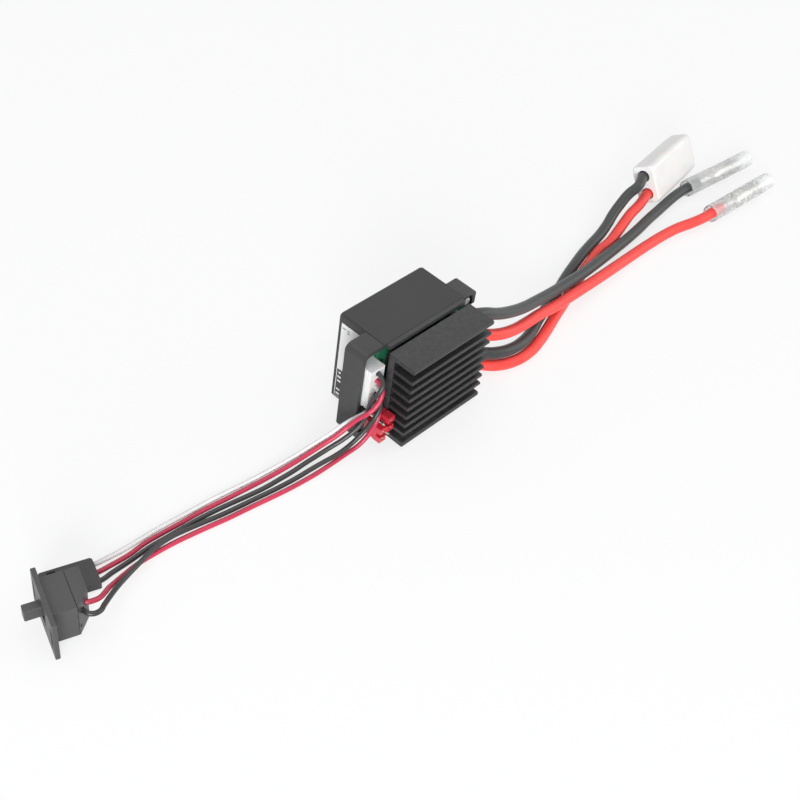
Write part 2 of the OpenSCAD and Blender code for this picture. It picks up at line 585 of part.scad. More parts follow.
module signal_plug() {
  color("#f2f1ec") difference() {
    union() {
      slab([signal_x - plug_head[0] / 2, plug_face_y, plug_zc - plug_head[2] / 2],
           [signal_x + plug_head[0] / 2, plug_face_y + plug_head[1], plug_zc + plug_head[2] / 2]);
      slab([signal_x - plug_body[0] / 2, plug_face_y + 0.5, plug_zc - plug_body[1] / 2],
           [signal_x + plug_body[0] / 2, header_floor - 0.2, plug_zc + plug_body[1] / 2]);
    }
    for (z = way_z) y_rod(signal_x, z, plug_face_y - 1, header_floor + 1, plug_bore_r);
  }
}

module signal_plug_contacts() {
  color("#d8c27a") for (z = way_z) difference() {
    union() {
      y_rod(signal_x, z, crimp_y, crimp_y + 1.4, wire_d / 2 - 0.05);
      y_rod(signal_x, z, crimp_y + 1.35, header_floor - 0.3, plug_bore_r - 0.03);
    }
    y_rod(signal_x, z, crimp_y + 1.4, header_floor + 1, 0.5);
  }
}

// ---- Mode jumpers --------------------------------------------------------

module jumper_base() {
  px = jumper_pitch;
  color("#1d1d1f") difference() {
    union() for (x = jumper_cols, z = jumper_rows) translate([x, board_front, z]) {
      slab([-px / 2, -jumper_base_t, -px / 2 + 0.25], [px / 2, 0, px / 2 - 0.25]);
      slab([-px / 2 + 0.25, -jumper_base_t, -px / 2], [px / 2 - 0.25, 0, px / 2]);
    }
    for (x = jumper_cols, z = jumper_rows)
      y_bar(x, z, board_front - jumper_base_t - 1, board_front + 1, pin_hole);
  }
}

module jumper_pins() {
  tail = board_back + 1.2;
  color("#cfc9b4") for (x = jumper_cols, z = jumper_rows) {
    y_bar(x, z, pin_tip + 0.4, tail, pin_side);
    y_bar(x, z, pin_tip, pin_tip + 0.5, pin_side - 0.2);
    y_rod(x, z, board_back, board_back + 0.5, 0.75);
  }
}

// Jumper cap over two pins of one column, its middle at x, z
module jumper_cap(x, z) {
  long = jumper_pitch * 2 - 0.1;
  tip = cap_face - cap_l;
  difference() {
    slab([x - cap_w / 2, tip, z - long / 2], [x + cap_w / 2, cap_face, z + long / 2]);
    slab([x - cap_w, tip - 1, z - 0.65], [x + cap_w, tip + 1.5, z + 0.65]);
    slab([x - 0.65, tip + 1.9, z - 1.95], [x + 0.65, cap_face + 1, z + 1.95]);
    for (s = [-1, 1]) y_rod(x, z + s * jumper_pitch / 2, tip - 1, tip + 2, 0.5);
    for (s = [z - long / 2, z + long / 2])
      slab([x - cap_w, tip + 2.6, s - 0.2], [x + cap_w, cap_face - 1, s + 0.2]);
  }
}

// Metal clip inside a jumper cap
module jumper_clip(x, z) {
  tip = cap_face - cap_l;
  difference() {
    slab([x - 0.6, tip + 1.9, z - 1.9], [x + 0.6, cap_face - 0.6, z + 1.9]);
    for (s = [-1, 1]) y_bar(x, z + s * jumper_pitch / 2, tip - 1, cap_face + 1, pin_hole);
  }
}

module jumper_cap_upper() { color("red") jumper_cap(upper_cap[0], upper_cap[1]); }

module jumper_clip_upper() { color("silver") jumper_clip(upper_cap[0], upper_cap[1]); }

module jumper_cap_lower() { color("red") jumper_cap(lower_cap[0], lower_cap[1]); }

module jumper_clip_lower() { color("silver") jumper_clip(lower_cap[0], lower_cap[1]); }

// ---- Signal wires, receiver plug and switch ------------------------------

// Wire from way w of the signal plug, ending at mouth c and, inside it, at e
module signal_wire(r, w, c, e) {
  cord(led(r, [signal_x, crimp_y, way_z[w]], [signal_x, plug_face_y, way_z[w]], c, e), wire_d);
}

function servo_mouth(i, inside) = sw_spot(servo_end - inside, -servo_w[i], servo_z);

module receiver_wire_white() {
  color("#f0f0f0") signal_wire(receiver_white_route, 2, servo_mouth(0, 0), servo_mouth(0, wire_in));
}

module receiver_wire_red() {
  color("#c8465f") signal_wire(receiver_red_route, 1, servo_mouth(1, 0), servo_mouth(1, wire_in));
}

module receiver_wire_black() {
  color("#2a2a2a") signal_wire(receiver_black_route, 0, servo_mouth(2, 0), servo_mouth(2, wire_in));
}

function slant_mouth(share, out) = let (p = slant_spot(share, out)) sw_spot(p[0], p[1], switch_wire_z);

module switch_wire_red() {
  color("#c8465f")
    signal_wire(switch_red_route, 4, slant_mouth(red_share, 0), slant_mouth(red_share, -wire_in));
}

module switch_wire_black() {
  color("#2a2a2a")
    signal_wire(switch_black_route, 3, slant_mouth(black_share, 0), slant_mouth(black_share, -wire_in));
}

module servo_plug() {
  k0 = servo_end - servo_plug_l;
  w0 = servo_side;
  w1 = servo_side + servo_plug_w;
  color("#2b2b2c") at_switch() difference() {
    linear_extrude(servo_plug_t) polygon([[k0, w0], [servo_end, w0], [servo_end, w1 - 0.5],
      [servo_end - 0.5, w1], [k0 + 1.6, w1], [k0, w1 - 1.2]]);
    for (w = servo_w) {
      x_rod(w, servo_z, k0 + 1, servo_end + 1, 0.8);
      slab([k0 - 1, w - 0.4, servo_z - 0.4], [k0 + 2, w + 0.4, servo_z + 0.4]);
      slab([k0 + 3, w - 0.6, servo_plug_t - 0.3], [k0 + 5, w + 0.6, servo_plug_t + 1]);
    }
  }
}

module servo_plug_contacts() {
  k0 = servo_end - servo_plug_l + 1;
  k1 = servo_end - wire_in;
  color("#d8c27a") at_switch() for (w = servo_w) difference() {
    union() {
      x_rod(w, servo_z, k1 - 3.2, k1, 0.6);
      x_rod(w, servo_z, k0, k1 - 3, 0.76);
    }
    x_rod(w, servo_z, k0 - 1, k1 - 3.4, 0.5);
  }
}

module switch_housing() {
  color("#3a3a3b") at_switch() difference() {
    union() {
      sw_block([0, housing_split], [0, switch_w], [body_z0, body_z1]);
      sw_block([-flange_t, 0], [-ear_far, switch_w + ear_near], [0, flange_h]);
    }
    sw_block([0, housing_split + 1], [shell, switch_w - shell], [body_z0 + shell, body_z1 - shell]);
    sw_block([-flange_t - 1, 1], [knob_w0 - 0.15, knob_w1 + slider_travel + 0.15],
             [switch_zc - knob_h / 2 - 0.15, switch_zc + knob_h / 2 + 0.15]);
    sw_block([-flange_t - 1, 1], [switch_w + 1, switch_w + 2.8], [switch_zc - 3.25, switch_zc + 3.25]);
    sw_block([-flange_t - 1, 1], [-1.4, -0.5], [switch_zc - 3.25, switch_zc + 3.25]);
  }
}

module switch_rear_cover() {
  color("#4a4a4b") at_switch() difference() {
    translate([0, 0, body_z0]) linear_extrude(switch_h) polygon([[housing_split, 0], [switch_depth, 0],
      [switch_depth, -rear_flat], [housing_split, -switch_w]]);
    translate([0, 0, body_z0 + shell]) linear_extrude(switch_h - 2 * shell) polygon([
      [housing_split - 1, -shell], [switch_depth - shell, -shell],
      [switch_depth - shell, -rear_flat + shell / 4],
      [housing_split, -switch_w + 1.6 * shell], [housing_split - 1, -switch_w + 1.6 * shell]]);
    for (share = [red_share, black_share]) {
      p = slant_spot(share, 0);
      translate([p[0], -p[1], switch_wire_z]) rotate([0, 0, -slant_turn])
        x_rod(0, 0, -2, 2, wire_hole_r + 0.05);
    }
    p = slant_spot(0.82, 0);
    translate([p[0], -p[1], switch_zc - 2.6]) rotate([0, 0, -slant_turn]) x_rod(0, 0, -2, 2, 0.5);
  }
}

module switch_base() {
  color("#7a5a34") at_switch() sw_block([base_k, base_k + base_t], [shell + 0.02, switch_w - shell - 0.02],
    [body_z0 + shell + 0.02, body_z1 - shell - 0.02]);
}

module switch_terminals() {
  post_z = [switch_wire_z - 0.4, switch_wire_z + 0.4];
  color("#d0d0cc") {
    for (share = [red_share, black_share]) {
      p = slant_spot(share, -wire_in - 0.5);
      at_slant(share, -wire_in) slab([-1, -0.6, -0.6], [0, 0.6, 0.6]);
      at_switch() sw_block([base_k + base_t, p[0]], [p[1] - 0.3, p[1] + 0.3], post_z);
    }
    at_switch() sw_block([base_k + base_t, base_k + base_t + 1.6], [2.6, 3.2], post_z);
    at_switch() for (w = [2.9, 5.55, 8.2])
      sw_block([base_k - 0.3, base_k], [w - 0.9, w + 0.9], [switch_zc - 1.4, switch_zc + 1.4]);
  }
}

module switch_slider() {
  color("#3a3a3c") at_switch() {
    sw_block([0.1, 1.5], [rest_knob - slider_half, rest_knob + slider_half],
             [switch_zc - 3.4, switch_zc + 3.4]);
    sw_block([-flange_t - knob_out, 0.2], [knob_w0, knob_w1], [switch_zc - knob_h / 2, switch_zc + knob_h / 2]);
  }
}

module slider_contact() {
  color("#d8c27a") at_switch() {
    sw_block([1.5, 2.1], [rest_knob - 2.4, rest_knob + 2.4], [switch_zc - 1.8, switch_zc + 1.8]);
    for (w = [rest_knob - 1.4, rest_knob + 1.4])
      sw_block([2, 2.9], [w - 0.5, w + 0.5], [switch_zc - 1, switch_zc + 1]);
  }
}

// ---- Power leads, motor sockets and battery plug -------------------------

// Point on a socket's axis, a distance along it
function socket_spot(s, along) = [s[0] + along * cos(s[3]), s[1] + along * sin(s[3]), s[2]];

// Lead number i from its solder joint to mouth c and, inside it, to e
module power_lead(r, i, c, e) {
  cord(led(r, [lead_start, lead_y, lead_z[i]], [lead_start + 1.8, lead_y, lead_z[i]], c, e), lead_d);
}

// The lead number i of the battery pair enters the plug dy away from its middle
function battery_mouth(dy, inside) =
  [battery_spot[0] + inside * cos(battery_turn) - dy * cos(battery_roll) * sin(battery_turn),
   battery_spot[1] + inside * sin(battery_turn) + dy * cos(battery_roll) * cos(battery_turn),
   battery_z + dy * sin(battery_roll)];

// The plug's own frame: its length along X from the lead end, its axis at zero
module at_battery() {
  translate([battery_spot[0], battery_spot[1], battery_z]) rotate([battery_roll, 0, battery_turn]) children();
}

module motor_lead_black() {
  color("#3b3f3f")
    power_lead(motor_black_route, 0, socket_spot(black_socket, 0), socket_spot(black_socket, strip));
}

module motor_lead_red() {
  color("#fa5a50") power_lead(motor_red_route, 1, socket_spot(red_socket, 0), socket_spot(red_socket, strip));
}

module battery_lead_black() {
  color("#3b3f3f") power_lead(battery_black_route, 2, battery_mouth(battery_pitch / 2, 0),
    battery_mouth(battery_pitch / 2, battery_in));
}

module battery_lead_red() {
  color("#fa5a50") power_lead(battery_red_route, 3, battery_mouth(-battery_pitch / 2, 0),
    battery_mouth(-battery_pitch / 2, battery_in));
}

module sleeve(s) {
  at_socket(s) difference() {
    rotate([0, 90, 0]) rotate_extrude() polygon([[sleeve_ir, 0.2], [sleeve_ir + 0.15, 0],
      [sleeve_d / 2 - 0.15, 0], [sleeve_d / 2, 0.2], [sleeve_d / 2, sleeve_l - 0.2],
      [sleeve_d / 2 - 0.15, sleeve_l],
      [sleeve_ir + 0.15, sleeve_l], [sleeve_ir, sleeve_l - 0.2]]);
  }
}

module motor_sleeve_black() { color("#dfe3e3") sleeve(black_socket); }

module motor_sleeve_red() { color("#dfe3e3") sleeve(red_socket); }

module socket(s) {
  neck = 2 * strip;
  mouth = neck + neck_l + socket_l;
  at_socket(s) difference() {
    union() {
      x_rod(0, 0, strip, neck, lead_d / 2 - 0.15);
      x_rod(0, 0, neck - 0.1, neck + neck_l + 0.1, lead_d / 2 - 0.45);
      x_rod(0, 0, neck + neck_l, mouth, socket_r);
      x_rod(0, 0, neck + neck_l + 1, neck + neck_l + 1.8, sleeve_ir - 0.02);
    }
    x_rod(0, 0, neck + neck_l + 1.2, mouth + 1, socket_bore / 2);
  }
}

module motor_socket_black() { color("#d9b95c") socket(black_socket); }

module motor_socket_red() { color("#d9b95c") socket(red_socket); }

module battery_plug() {
  l = battery_plug_l;
  w = battery_plug_w;
  h = battery_plug_h;
  r = 1.6;
  hole = battery_hole_r;
  color("#eceae2") at_battery() translate([0, 0, -h / 2]) difference() {
    union() {
      rotate([90, 0, 90]) linear_extrude(l) {
        translate([-w / 2 + r, 0]) square([w - 2 * r, h]);
        translate([-w / 2, 0.6]) square([w, h - 0.6 - r]);
        translate([-w / 2 + 0.6, 0]) square([w - 1.2, 1]);
        for (s = [-1, 1]) translate([s * (w / 2 - r), h - r]) circle(r);
        for (s = [-1, 1]) translate([s * (w / 2 - 0.6), 0.6]) circle(0.6);
      }
    }
    for (s = [-1, 1]) x_rod(s * battery_pitch / 2, h / 2, -1, l - 6.5, hole);
    x_rod(-battery_pitch / 2, h / 2, l - 7, l + 1, 2.6);
    slab([l - 6.6, battery_pitch / 2 - 2.4, h / 2 - 2.4], [l + 1, battery_pitch / 2 + 2.4, h / 2 + 2.4]);
    slab([4, -2.6, h - 1.3], [l - 4, -1.9, h + 1]);
    slab([4, 1.9, h - 1.3], [l - 4, 2.6, h + 1]);
    slab([4, -2, h - 0.6], [l - 9, 2, h + 1]);
  }
}

module battery_plug_contacts() {
  x1 = battery_in;
  l = battery_plug_l;
  color("#d8c27a") at_battery() for (s = [-1, 1]) translate([0, s * battery_pitch / 2, 0]) difference() {
    union() {
      x_rod(0, 0, x1, x1 + 6, lead_d / 2 - 0.15);
      x_rod(0, 0, x1 + 5.9, l - 1.5, 1.5);
      x_rod(0, 0, x1 + 7, x1 + 8, battery_hole_r - 0.02);
    }
    x_rod(0, 0, x1 + 9, l, 1.05);
  }
}

case_shell();
label_sticker();
end_sticker();
circuit_board();
board_screws();
heat_sink();
heat_sink_screws();
thermal_pad();
power_transistors();
chip_components();
microcontroller();
voltage_regulators();
filter_capacitors();
capacitor_leads();
solder_joints();
signal_header();
header_pins();
signal_plug();
signal_plug_contacts();
jumper_base();
jumper_pins();
jumper_cap_upper();
jumper_clip_upper();
jumper_cap_lower();
jumper_clip_lower();
receiver_wire_white();
receiver_wire_red();
receiver_wire_black();
switch_wire_red();
switch_wire_black();
servo_plug();
servo_plug_contacts();
switch_housing();
switch_rear_cover();
switch_base();
switch_terminals();
switch_slider();
slider_contact();
motor_lead_black();
motor_lead_red();
battery_lead_black();
battery_lead_red();
motor_sleeve_black();
motor_sleeve_red();
motor_socket_black();
motor_socket_red();
battery_plug();
battery_plug_contacts();
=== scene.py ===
"""Looks of an electronic speed controller with its heat sink, leads, plugs and power switch."""
import math
import random

import bmesh
import bpy
from mathutils import Matrix, Vector


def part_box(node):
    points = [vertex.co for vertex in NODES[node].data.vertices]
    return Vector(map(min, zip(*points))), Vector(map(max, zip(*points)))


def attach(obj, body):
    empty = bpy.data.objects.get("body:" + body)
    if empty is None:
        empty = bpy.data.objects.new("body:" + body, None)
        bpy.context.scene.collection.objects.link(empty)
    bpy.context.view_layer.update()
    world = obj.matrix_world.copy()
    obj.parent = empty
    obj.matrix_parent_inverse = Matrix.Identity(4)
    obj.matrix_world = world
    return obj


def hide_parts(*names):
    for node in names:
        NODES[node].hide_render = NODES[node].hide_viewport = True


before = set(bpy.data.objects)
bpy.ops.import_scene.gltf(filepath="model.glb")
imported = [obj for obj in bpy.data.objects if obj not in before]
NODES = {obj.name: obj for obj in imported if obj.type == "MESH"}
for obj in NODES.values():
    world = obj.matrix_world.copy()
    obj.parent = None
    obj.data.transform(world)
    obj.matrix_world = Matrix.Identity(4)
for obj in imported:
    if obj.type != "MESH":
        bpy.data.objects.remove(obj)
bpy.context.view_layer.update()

bl_info = {
    "name": "Speed controller",
    "version": (1, 0, 0),
    "blender": (4, 5, 0),
    "location": "3D View > Sidebar > Speed controller",
    "description": "Builds the looks of an electronic speed controller piece by piece",
    "category": "Add Mesh",
}

MM = 0.001
ROOT = "controller"

# Routes of the cords in metres, each from the controller outwards
ROUTES = {
    "receiver_wire_white": [
        (-0.0178, -0.0033, 0.0187), (-0.0178, -0.0042, 0.0187), (-0.0181, -0.0057, 0.0184),
        (-0.0189, -0.0069, 0.0174), (-0.0199, -0.0072, 0.0159), (-0.0207, -0.0063, 0.0141),
        (-0.0217, -0.0051, 0.0123), (-0.0235, -0.0037, 0.0106), (-0.0255, -0.0024, 0.0089),
        (-0.0279, -0.0014, 0.0073), (-0.0306, -0.0005, 0.0057), (-0.0336, 0.0005, 0.0042),
        (-0.0369, 0.0013, 0.003), (-0.0404, 0.002, 0.0021), (-0.0442, 0.0027, 0.0014),
        (-0.0481, 0.0033, 0.001), (-0.0522, 0.0038, 0.0008), (-0.0565, 0.0044, 0.0007),
        (-0.0609, 0.005, 0.0007), (-0.0654, 0.0055, 0.0007), (-0.0701, 0.0059, 0.0007),
        (-0.0748, 0.0063, 0.0007), (-0.0798, 0.0067, 0.0007), (-0.0848, 0.0069, 0.0007),
        (-0.09, 0.007, 0.0008), (-0.0944, 0.0072, 0.0011), (-0.09849, 0.00774, 0.00125),
        (-0.09962, 0.00814, 0.00125),
    ],
    "receiver_wire_red": [
        (-0.0178, -0.0033, 0.0212), (-0.0178, -0.0042, 0.0212), (-0.018, -0.0058, 0.0209),
        (-0.0187, -0.0073, 0.02), (-0.0199, -0.008, 0.0184), (-0.0216, -0.008, 0.0166),
        (-0.0233, -0.0073, 0.0149), (-0.0245, -0.0057, 0.0127), (-0.0256, -0.0043, 0.0103),
        (-0.0276, -0.0033, 0.0081), (-0.0302, -0.0024, 0.0063), (-0.0332, -0.0014, 0.0048),
        (-0.0364, -0.0005, 0.0034), (-0.04, 0.0002, 0.0024), (-0.0438, 0.0009, 0.0016),
        (-0.0478, 0.0015, 0.0011), (-0.052, 0.0021, 0.0008), (-0.0563, 0.0026, 0.0008),
        (-0.0608, 0.0032, 0.0007), (-0.0654, 0.0038, 0.0007), (-0.0701, 0.0043, 0.0007),
        (-0.075, 0.0046, 0.0007), (-0.08, 0.005, 0.0007), (-0.0852, 0.0053, 0.0007),
        (-0.0902, 0.0049, 0.0008), (-0.0954, 0.005, 0.0011), (-0.09932, 0.00533, 0.00125),
        (-0.10045, 0.00572, 0.00125),
    ],
    "receiver_wire_black": [
        (-0.0178, -0.0033, 0.0237), (-0.0178, -0.0042, 0.0237), (-0.018, -0.0059, 0.0234),
        (-0.0188, -0.0073, 0.0224), (-0.02, -0.0075, 0.0207), (-0.0211, -0.0067, 0.0186),
        (-0.0218, -0.0063, 0.0161), (-0.0226, -0.0063, 0.0133), (-0.0239, -0.006, 0.0106),
        (-0.0261, -0.0054, 0.0083), (-0.0287, -0.0044, 0.0063), (-0.0317, -0.0032, 0.0045),
        (-0.035, -0.0022, 0.003), (-0.0387, -0.0015, 0.002), (-0.0427, -0.0011, 0.0013),
        (-0.0469, -0.0007, 0.001), (-0.0512, -0.0003, 0.0008), (-0.0557, 0.0004, 0.0007),
        (-0.0602, 0.0012, 0.0007), (-0.065, 0.002, 0.0007), (-0.0699, 0.0026, 0.0007),
        (-0.0749, 0.003, 0.0007), (-0.0801, 0.0033, 0.0007), (-0.0854, 0.0036, 0.0007),
        (-0.0908, 0.0033, 0.0008), (-0.0963, 0.0031, 0.0011), (-0.10015, 0.00292, 0.00125),
        (-0.10128, 0.00331, 0.00125),
    ],
    "switch_wire_red": [
        (-0.0178, -0.0033, 0.0137), (-0.0178, -0.0042, 0.0137), (-0.0181, -0.0059, 0.0134),
        (-0.0191, -0.0075, 0.0123), (-0.0203, -0.008, 0.0103), (-0.0214, -0.0078, 0.0079),
        (-0.0229, -0.0074, 0.0055), (-0.025, -0.0069, 0.0036), (-0.0279, -0.0062, 0.0023),
        (-0.0312, -0.0057, 0.0014), (-0.0348, -0.0054, 0.0009), (-0.0386, -0.0052, 0.0007),
        (-0.0426, -0.0049, 0.0007), (-0.0467, -0.0045, 0.0007), (-0.051, -0.0039, 0.0007),
        (-0.0554, -0.0032, 0.0007), (-0.0599, -0.0025, 0.0007), (-0.0647, -0.0018, 0.0007),
        (-0.0695, -0.0009, 0.0007), (-0.0745, 0, 0.0007), (-0.07961, 0.00081, 0.0007),
        (-0.08502, 0.00123, 0.0008), (-0.09042, 0.00104, 0.0014), (-0.09553, -0.00005, 0.0025),
        (-0.09894, -0.00123, 0.0038), (-0.10135, -0.00232, 0.0051), (-0.10336, -0.00351, 0.0062),
        (-0.10537, -0.00449, 0.0072), (-0.10717, -0.00458, 0.0078), (-0.10867, -0.00398, 0.008),
        (-0.10932, -0.00297, 0.008),
    ],
    "switch_wire_black": [
        (-0.0178, -0.0033, 0.0162), (-0.0178, -0.0042, 0.0162), (-0.0181, -0.006, 0.0159),
        (-0.0189, -0.0075, 0.0147), (-0.0204, -0.0079, 0.0129), (-0.0218, -0.0075, 0.0106),
        (-0.0233, -0.007, 0.0082), (-0.0254, -0.0064, 0.006), (-0.0282, -0.0059, 0.0043),
        (-0.0314, -0.0052, 0.003), (-0.0349, -0.0044, 0.0022), (-0.0387, -0.0037, 0.0015),
        (-0.0427, -0.0032, 0.001), (-0.0469, -0.0027, 0.0008), (-0.0512, -0.0021, 0.0007),
        (-0.0557, -0.0014, 0.0007), (-0.0604, -0.0007, 0.0007), (-0.0652, 0, 0.0008),
        (-0.0701, 0.0008, 0.0011), (-0.0752, 0.0015, 0.0016), (-0.08049, 0.00193, 0.0021),
        (-0.08588, 0.00135, 0.0026), (-0.09117, -0.00012, 0.0032), (-0.09606, -0.0017, 0.0039),
        (-0.09976, -0.00317, 0.0047), (-0.10295, -0.00484, 0.0057), (-0.10554, -0.00642, 0.0068),
        (-0.10793, -0.00769, 0.0076), (-0.10992, -0.00706, 0.008), (-0.11052, -0.00516, 0.008),
        (-0.11117, -0.00415, 0.008),
    ],
    "motor_lead_black": [
        (0.0172, -0.0036, 0.0224), (0.019, -0.0036, 0.0224), (0.0241, -0.0042, 0.021),
        (0.0305, -0.0049, 0.0179), (0.0372, -0.005, 0.0151), (0.044, -0.0047, 0.0128),
        (0.051, -0.004, 0.0109), (0.0581, -0.0033, 0.0091), (0.0653, -0.0026, 0.0076),
        (0.0726, -0.002, 0.0065), (0.0798, -0.0014, 0.0055), (0.0871, -0.0006, 0.0047),
        (0.0944, 0.0004, 0.0037), (0.1016, 0.0013, 0.003), (0.1089, 0.0022, 0.0025),
        (0.1163, 0.0032, 0.0022), (0.1237, 0.0044, 0.002), (0.1312, 0.0053, 0.00195),
        (0.137, 0.0059, 0.0022), (0.1428, 0.0062, 0.0027), (0.1486, 0.006, 0.003),
        (0.15458, 0.00548, 0.003),
    ],
    "motor_lead_red": [
        (0.0172, -0.0036, 0.015), (0.019, -0.0036, 0.015), (0.0238, -0.005, 0.0137),
        (0.0301, -0.0068, 0.0117), (0.0368, -0.0073, 0.0099), (0.0435, -0.007, 0.0087),
        (0.0505, -0.0065, 0.0077), (0.0574, -0.0063, 0.0065), (0.0645, -0.0059, 0.0056),
        (0.0715, -0.0055, 0.0048), (0.0785, -0.0051, 0.004), (0.0856, -0.0047, 0.0033),
        (0.0926, -0.0043, 0.0027), (0.0997, -0.004, 0.0023), (0.1068, -0.0038, 0.0021),
        (0.1139, -0.0038, 0.002), (0.121, -0.0041, 0.0021), (0.1281, -0.005, 0.0023),
        (0.134, -0.0066, 0.0027), (0.139, -0.0076, 0.003), (0.143, -0.0078, 0.003),
        (0.14899, -0.00811, 0.003),
    ],
    "battery_lead_black": [
        (0.0172, -0.0036, 0.008), (0.019, -0.0036, 0.008), (0.0235, -0.0052, 0.0072),
        (0.029, -0.008, 0.006), (0.035, -0.0093, 0.005), (0.0412, -0.009, 0.0043),
        (0.0475, -0.0072, 0.0035), (0.0538, -0.0047, 0.0028), (0.0599, -0.0028, 0.0024),
        (0.066, -0.0008, 0.0021), (0.0721, 0.0012, 0.002), (0.0782, 0.0033, 0.0019),
        (0.0844, 0.00515, 0.0019), (0.0905, 0.00685, 0.0019), (0.0968, 0.0082, 0.002),
        (0.1038, 0.0095, 0.0023), (0.1092, 0.0109, 0.003), (0.1134, 0.0121, 0.0043),
        (0.118, 0.0129, 0.006), (0.1224, 0.0132, 0.008), (0.1259, 0.0126, 0.0098),
        (0.13138, 0.01446, 0.0104), (0.13534, 0.01502, 0.0104),
    ],
    "battery_lead_red": [
        (0.0172, -0.0036, 0.0035), (0.019, -0.0036, 0.0035), (0.0232, -0.0051, 0.003),
        (0.0288, -0.0092, 0.0022), (0.0349, -0.0114, 0.0019), (0.0412, -0.0117, 0.0018),
        (0.0475, -0.0105, 0.0018), (0.0538, -0.0086, 0.0018), (0.06, -0.0065, 0.0018),
        (0.066, -0.0046, 0.0018), (0.0721, -0.0026, 0.0018), (0.0781, -0.0006, 0.0018),
        (0.0842, 0.0013, 0.0018), (0.0903, 0.003, 0.0018), (0.0965, 0.0045, 0.0019),
        (0.1032, 0.0051, 0.002), (0.109, 0.0065, 0.0023), (0.1144, 0.0079, 0.0028),
        (0.1194, 0.009, 0.0036), (0.1248, 0.0096, 0.0045), (0.13182, 0.01134, 0.00494),
        (0.13578, 0.0119, 0.00494),
    ],
}

# What each kind of cord is: its thickness, stiffness and far end, and what its material slot starts with
WIRE, LEAD = 0.0013, 0.0035
CORDS = {
    "receiver_wire": (WIRE, "limp", "plug", "wire_"),
    "switch_wire": (WIRE, "limp", "fitting", "wire_"),
    "motor_lead": (LEAD, "medium", "connector", "lead_"),
    "battery_lead": (LEAD, "medium", "plug", "lead_"),
}

# Places of the sleeves' mouths (x, y, z) in metres and their turn in degrees
SOCKETS = {"black": ((0.1486, 0.006, 0.003), -5), "red": ((0.143, -0.0078, 0.003), -3)}
# The battery plug's lead end (x, y, z) in metres, its roll about its length and its turn, in degrees
BATTERY = ((0.1316, 0.0129, 0.00767), 60, 8)
# How far each of its two ways is from its middle, and what is cut for each: start, end and radius
BATTERY_WAY = 0.00315
WIRE_HOLE = (-0.001, 0.0226, 0.0021)
MOUTH = (0.022, 0.03, 0.0026)
# The plug's outline along its length: distance along, and share of the full width and height
BATTERY_RINGS = ((0.0001, 0.93), (0.0006, 0.975), (0.0016, 0.99), (0.022, 0.99), (0.0276, 0.955),
                 (0.0285, 0.93), (0.0289, 0.89))
# A bullet socket's section from its solder cup to its mouth and back, as (distance along, radius)
# in millimetres
SOCKET_PROFILE = [
    (6, 1.58), (6.3, 1.62), (7.6, 1.6), (8.0, 1.45), (9.4, 1.45), (9.8, 1.6), (11.7, 1.6), (12, 1.35),
    (13.6, 1.3), (14, 2.2), (14.2, 2.33), (15.0, 2.35), (15.1, 2.46), (15.7, 2.46), (15.8, 2.35),
    (19.5, 2.35), (19.7, 2.26), (20.3, 2.26), (20.5, 2.35), (26.8, 2.35), (27, 2.2), (27, 2.0),
    (26.8, 1.985), (15.2, 1.985),
]

# Where the camera stands, and the way its right side and its line of sight point
CAMERA_SPOT = (-0.19843, -0.14893, 0.24397)
CAMERA_RIGHT = (0.6933, -0.7119, 0.1120)
CAMERA_SIGHT = (0.5622, 0.4370, -0.7021)
# Each lamp's name, place in metres, side in metres and power in watts; all face the origin
LAMPS = (("key", (-0.66, -0.58, 0.26), 0.5, 9.0), ("top", (0.1, 0.2, 0.9), 0.9, 3.3),
         ("side", (0.7, -0.5, 0.4), 0.6, 2.0))
# The floor lies just under the controller, and this share of what is seen of it is its own even light
FLOOR_Z = -0.00005
FLOOR_GLOW = 0.75
WHITE = (1, 1, 1, 1)

# Radii of the edges of thin, cut and moulded parts in metres
THIN_EDGE, CUT_EDGE, SOFT_EDGE = 0.00006, 0.00008, 0.00025

# What is made on the way: the shared groups, the finishes and the cords
MADE = {}


# ---- Shared node groups ---------------------------------------------------

FLOAT, COLOUR = "NodeSocketFloat", "NodeSocketColor"
# Where a Mix node keeps its two colours and what they mix to
MIX_COLOURS, MIX_RESULT = (6, 7), 2


def group(name, inputs, outputs):
    """A new shader node group with float or colour sockets, and its two end nodes."""
    tree = bpy.data.node_groups.new(name, "ShaderNodeTree")
    for label, kind, value in inputs:
        socket = tree.interface.new_socket(name=label, in_out="INPUT", socket_type=kind)
        socket.default_value = value
    for label, kind in outputs:
        tree.interface.new_socket(name=label, in_out="OUTPUT", socket_type=kind)
    return tree, tree.nodes.new("NodeGroupInput"), tree.nodes.new("NodeGroupOutput")


def fill(node, values):
    """Sets a node's inputs by their labels."""
    for label, value in values.items():
        node.inputs[label].default_value = value
    return node


def feed(tree, source, socket):
    """Gives an input another node's socket or a plain number."""
    if isinstance(source, (int, float)):
        socket.default_value = source
    else:
        tree.links.new(source, socket)


def maths(tree, op, a, b, clamp=False):
    """A Math node whose inputs are sockets or numbers."""
    node = tree.nodes.new("ShaderNodeMath")
    node.operation = op
    node.use_clamp = clamp
    feed(tree, a, node.inputs[0])
    feed(tree, b, node.inputs[1])
    return node.outputs[0]


def mixed(tree, factor, a, b):
    """A colour mix of two sockets or colours by a factor socket."""
    node = tree.nodes.new("ShaderNodeMix")
    node.data_type = "RGBA"
    tree.links.new(factor, node.inputs[0])
    for i, value in zip(MIX_COLOURS, (a, b)):
        if isinstance(value, (tuple, list)):
            node.inputs[i].default_value = (*value[:3], 1)
        else:
            tree.links.new(value, node.inputs[i])
    return node.outputs[MIX_RESULT]


def object_coords(tree):
    """The place on the object, in metres."""
    return tree.nodes.new("ShaderNodeTexCoord").outputs["Object"]


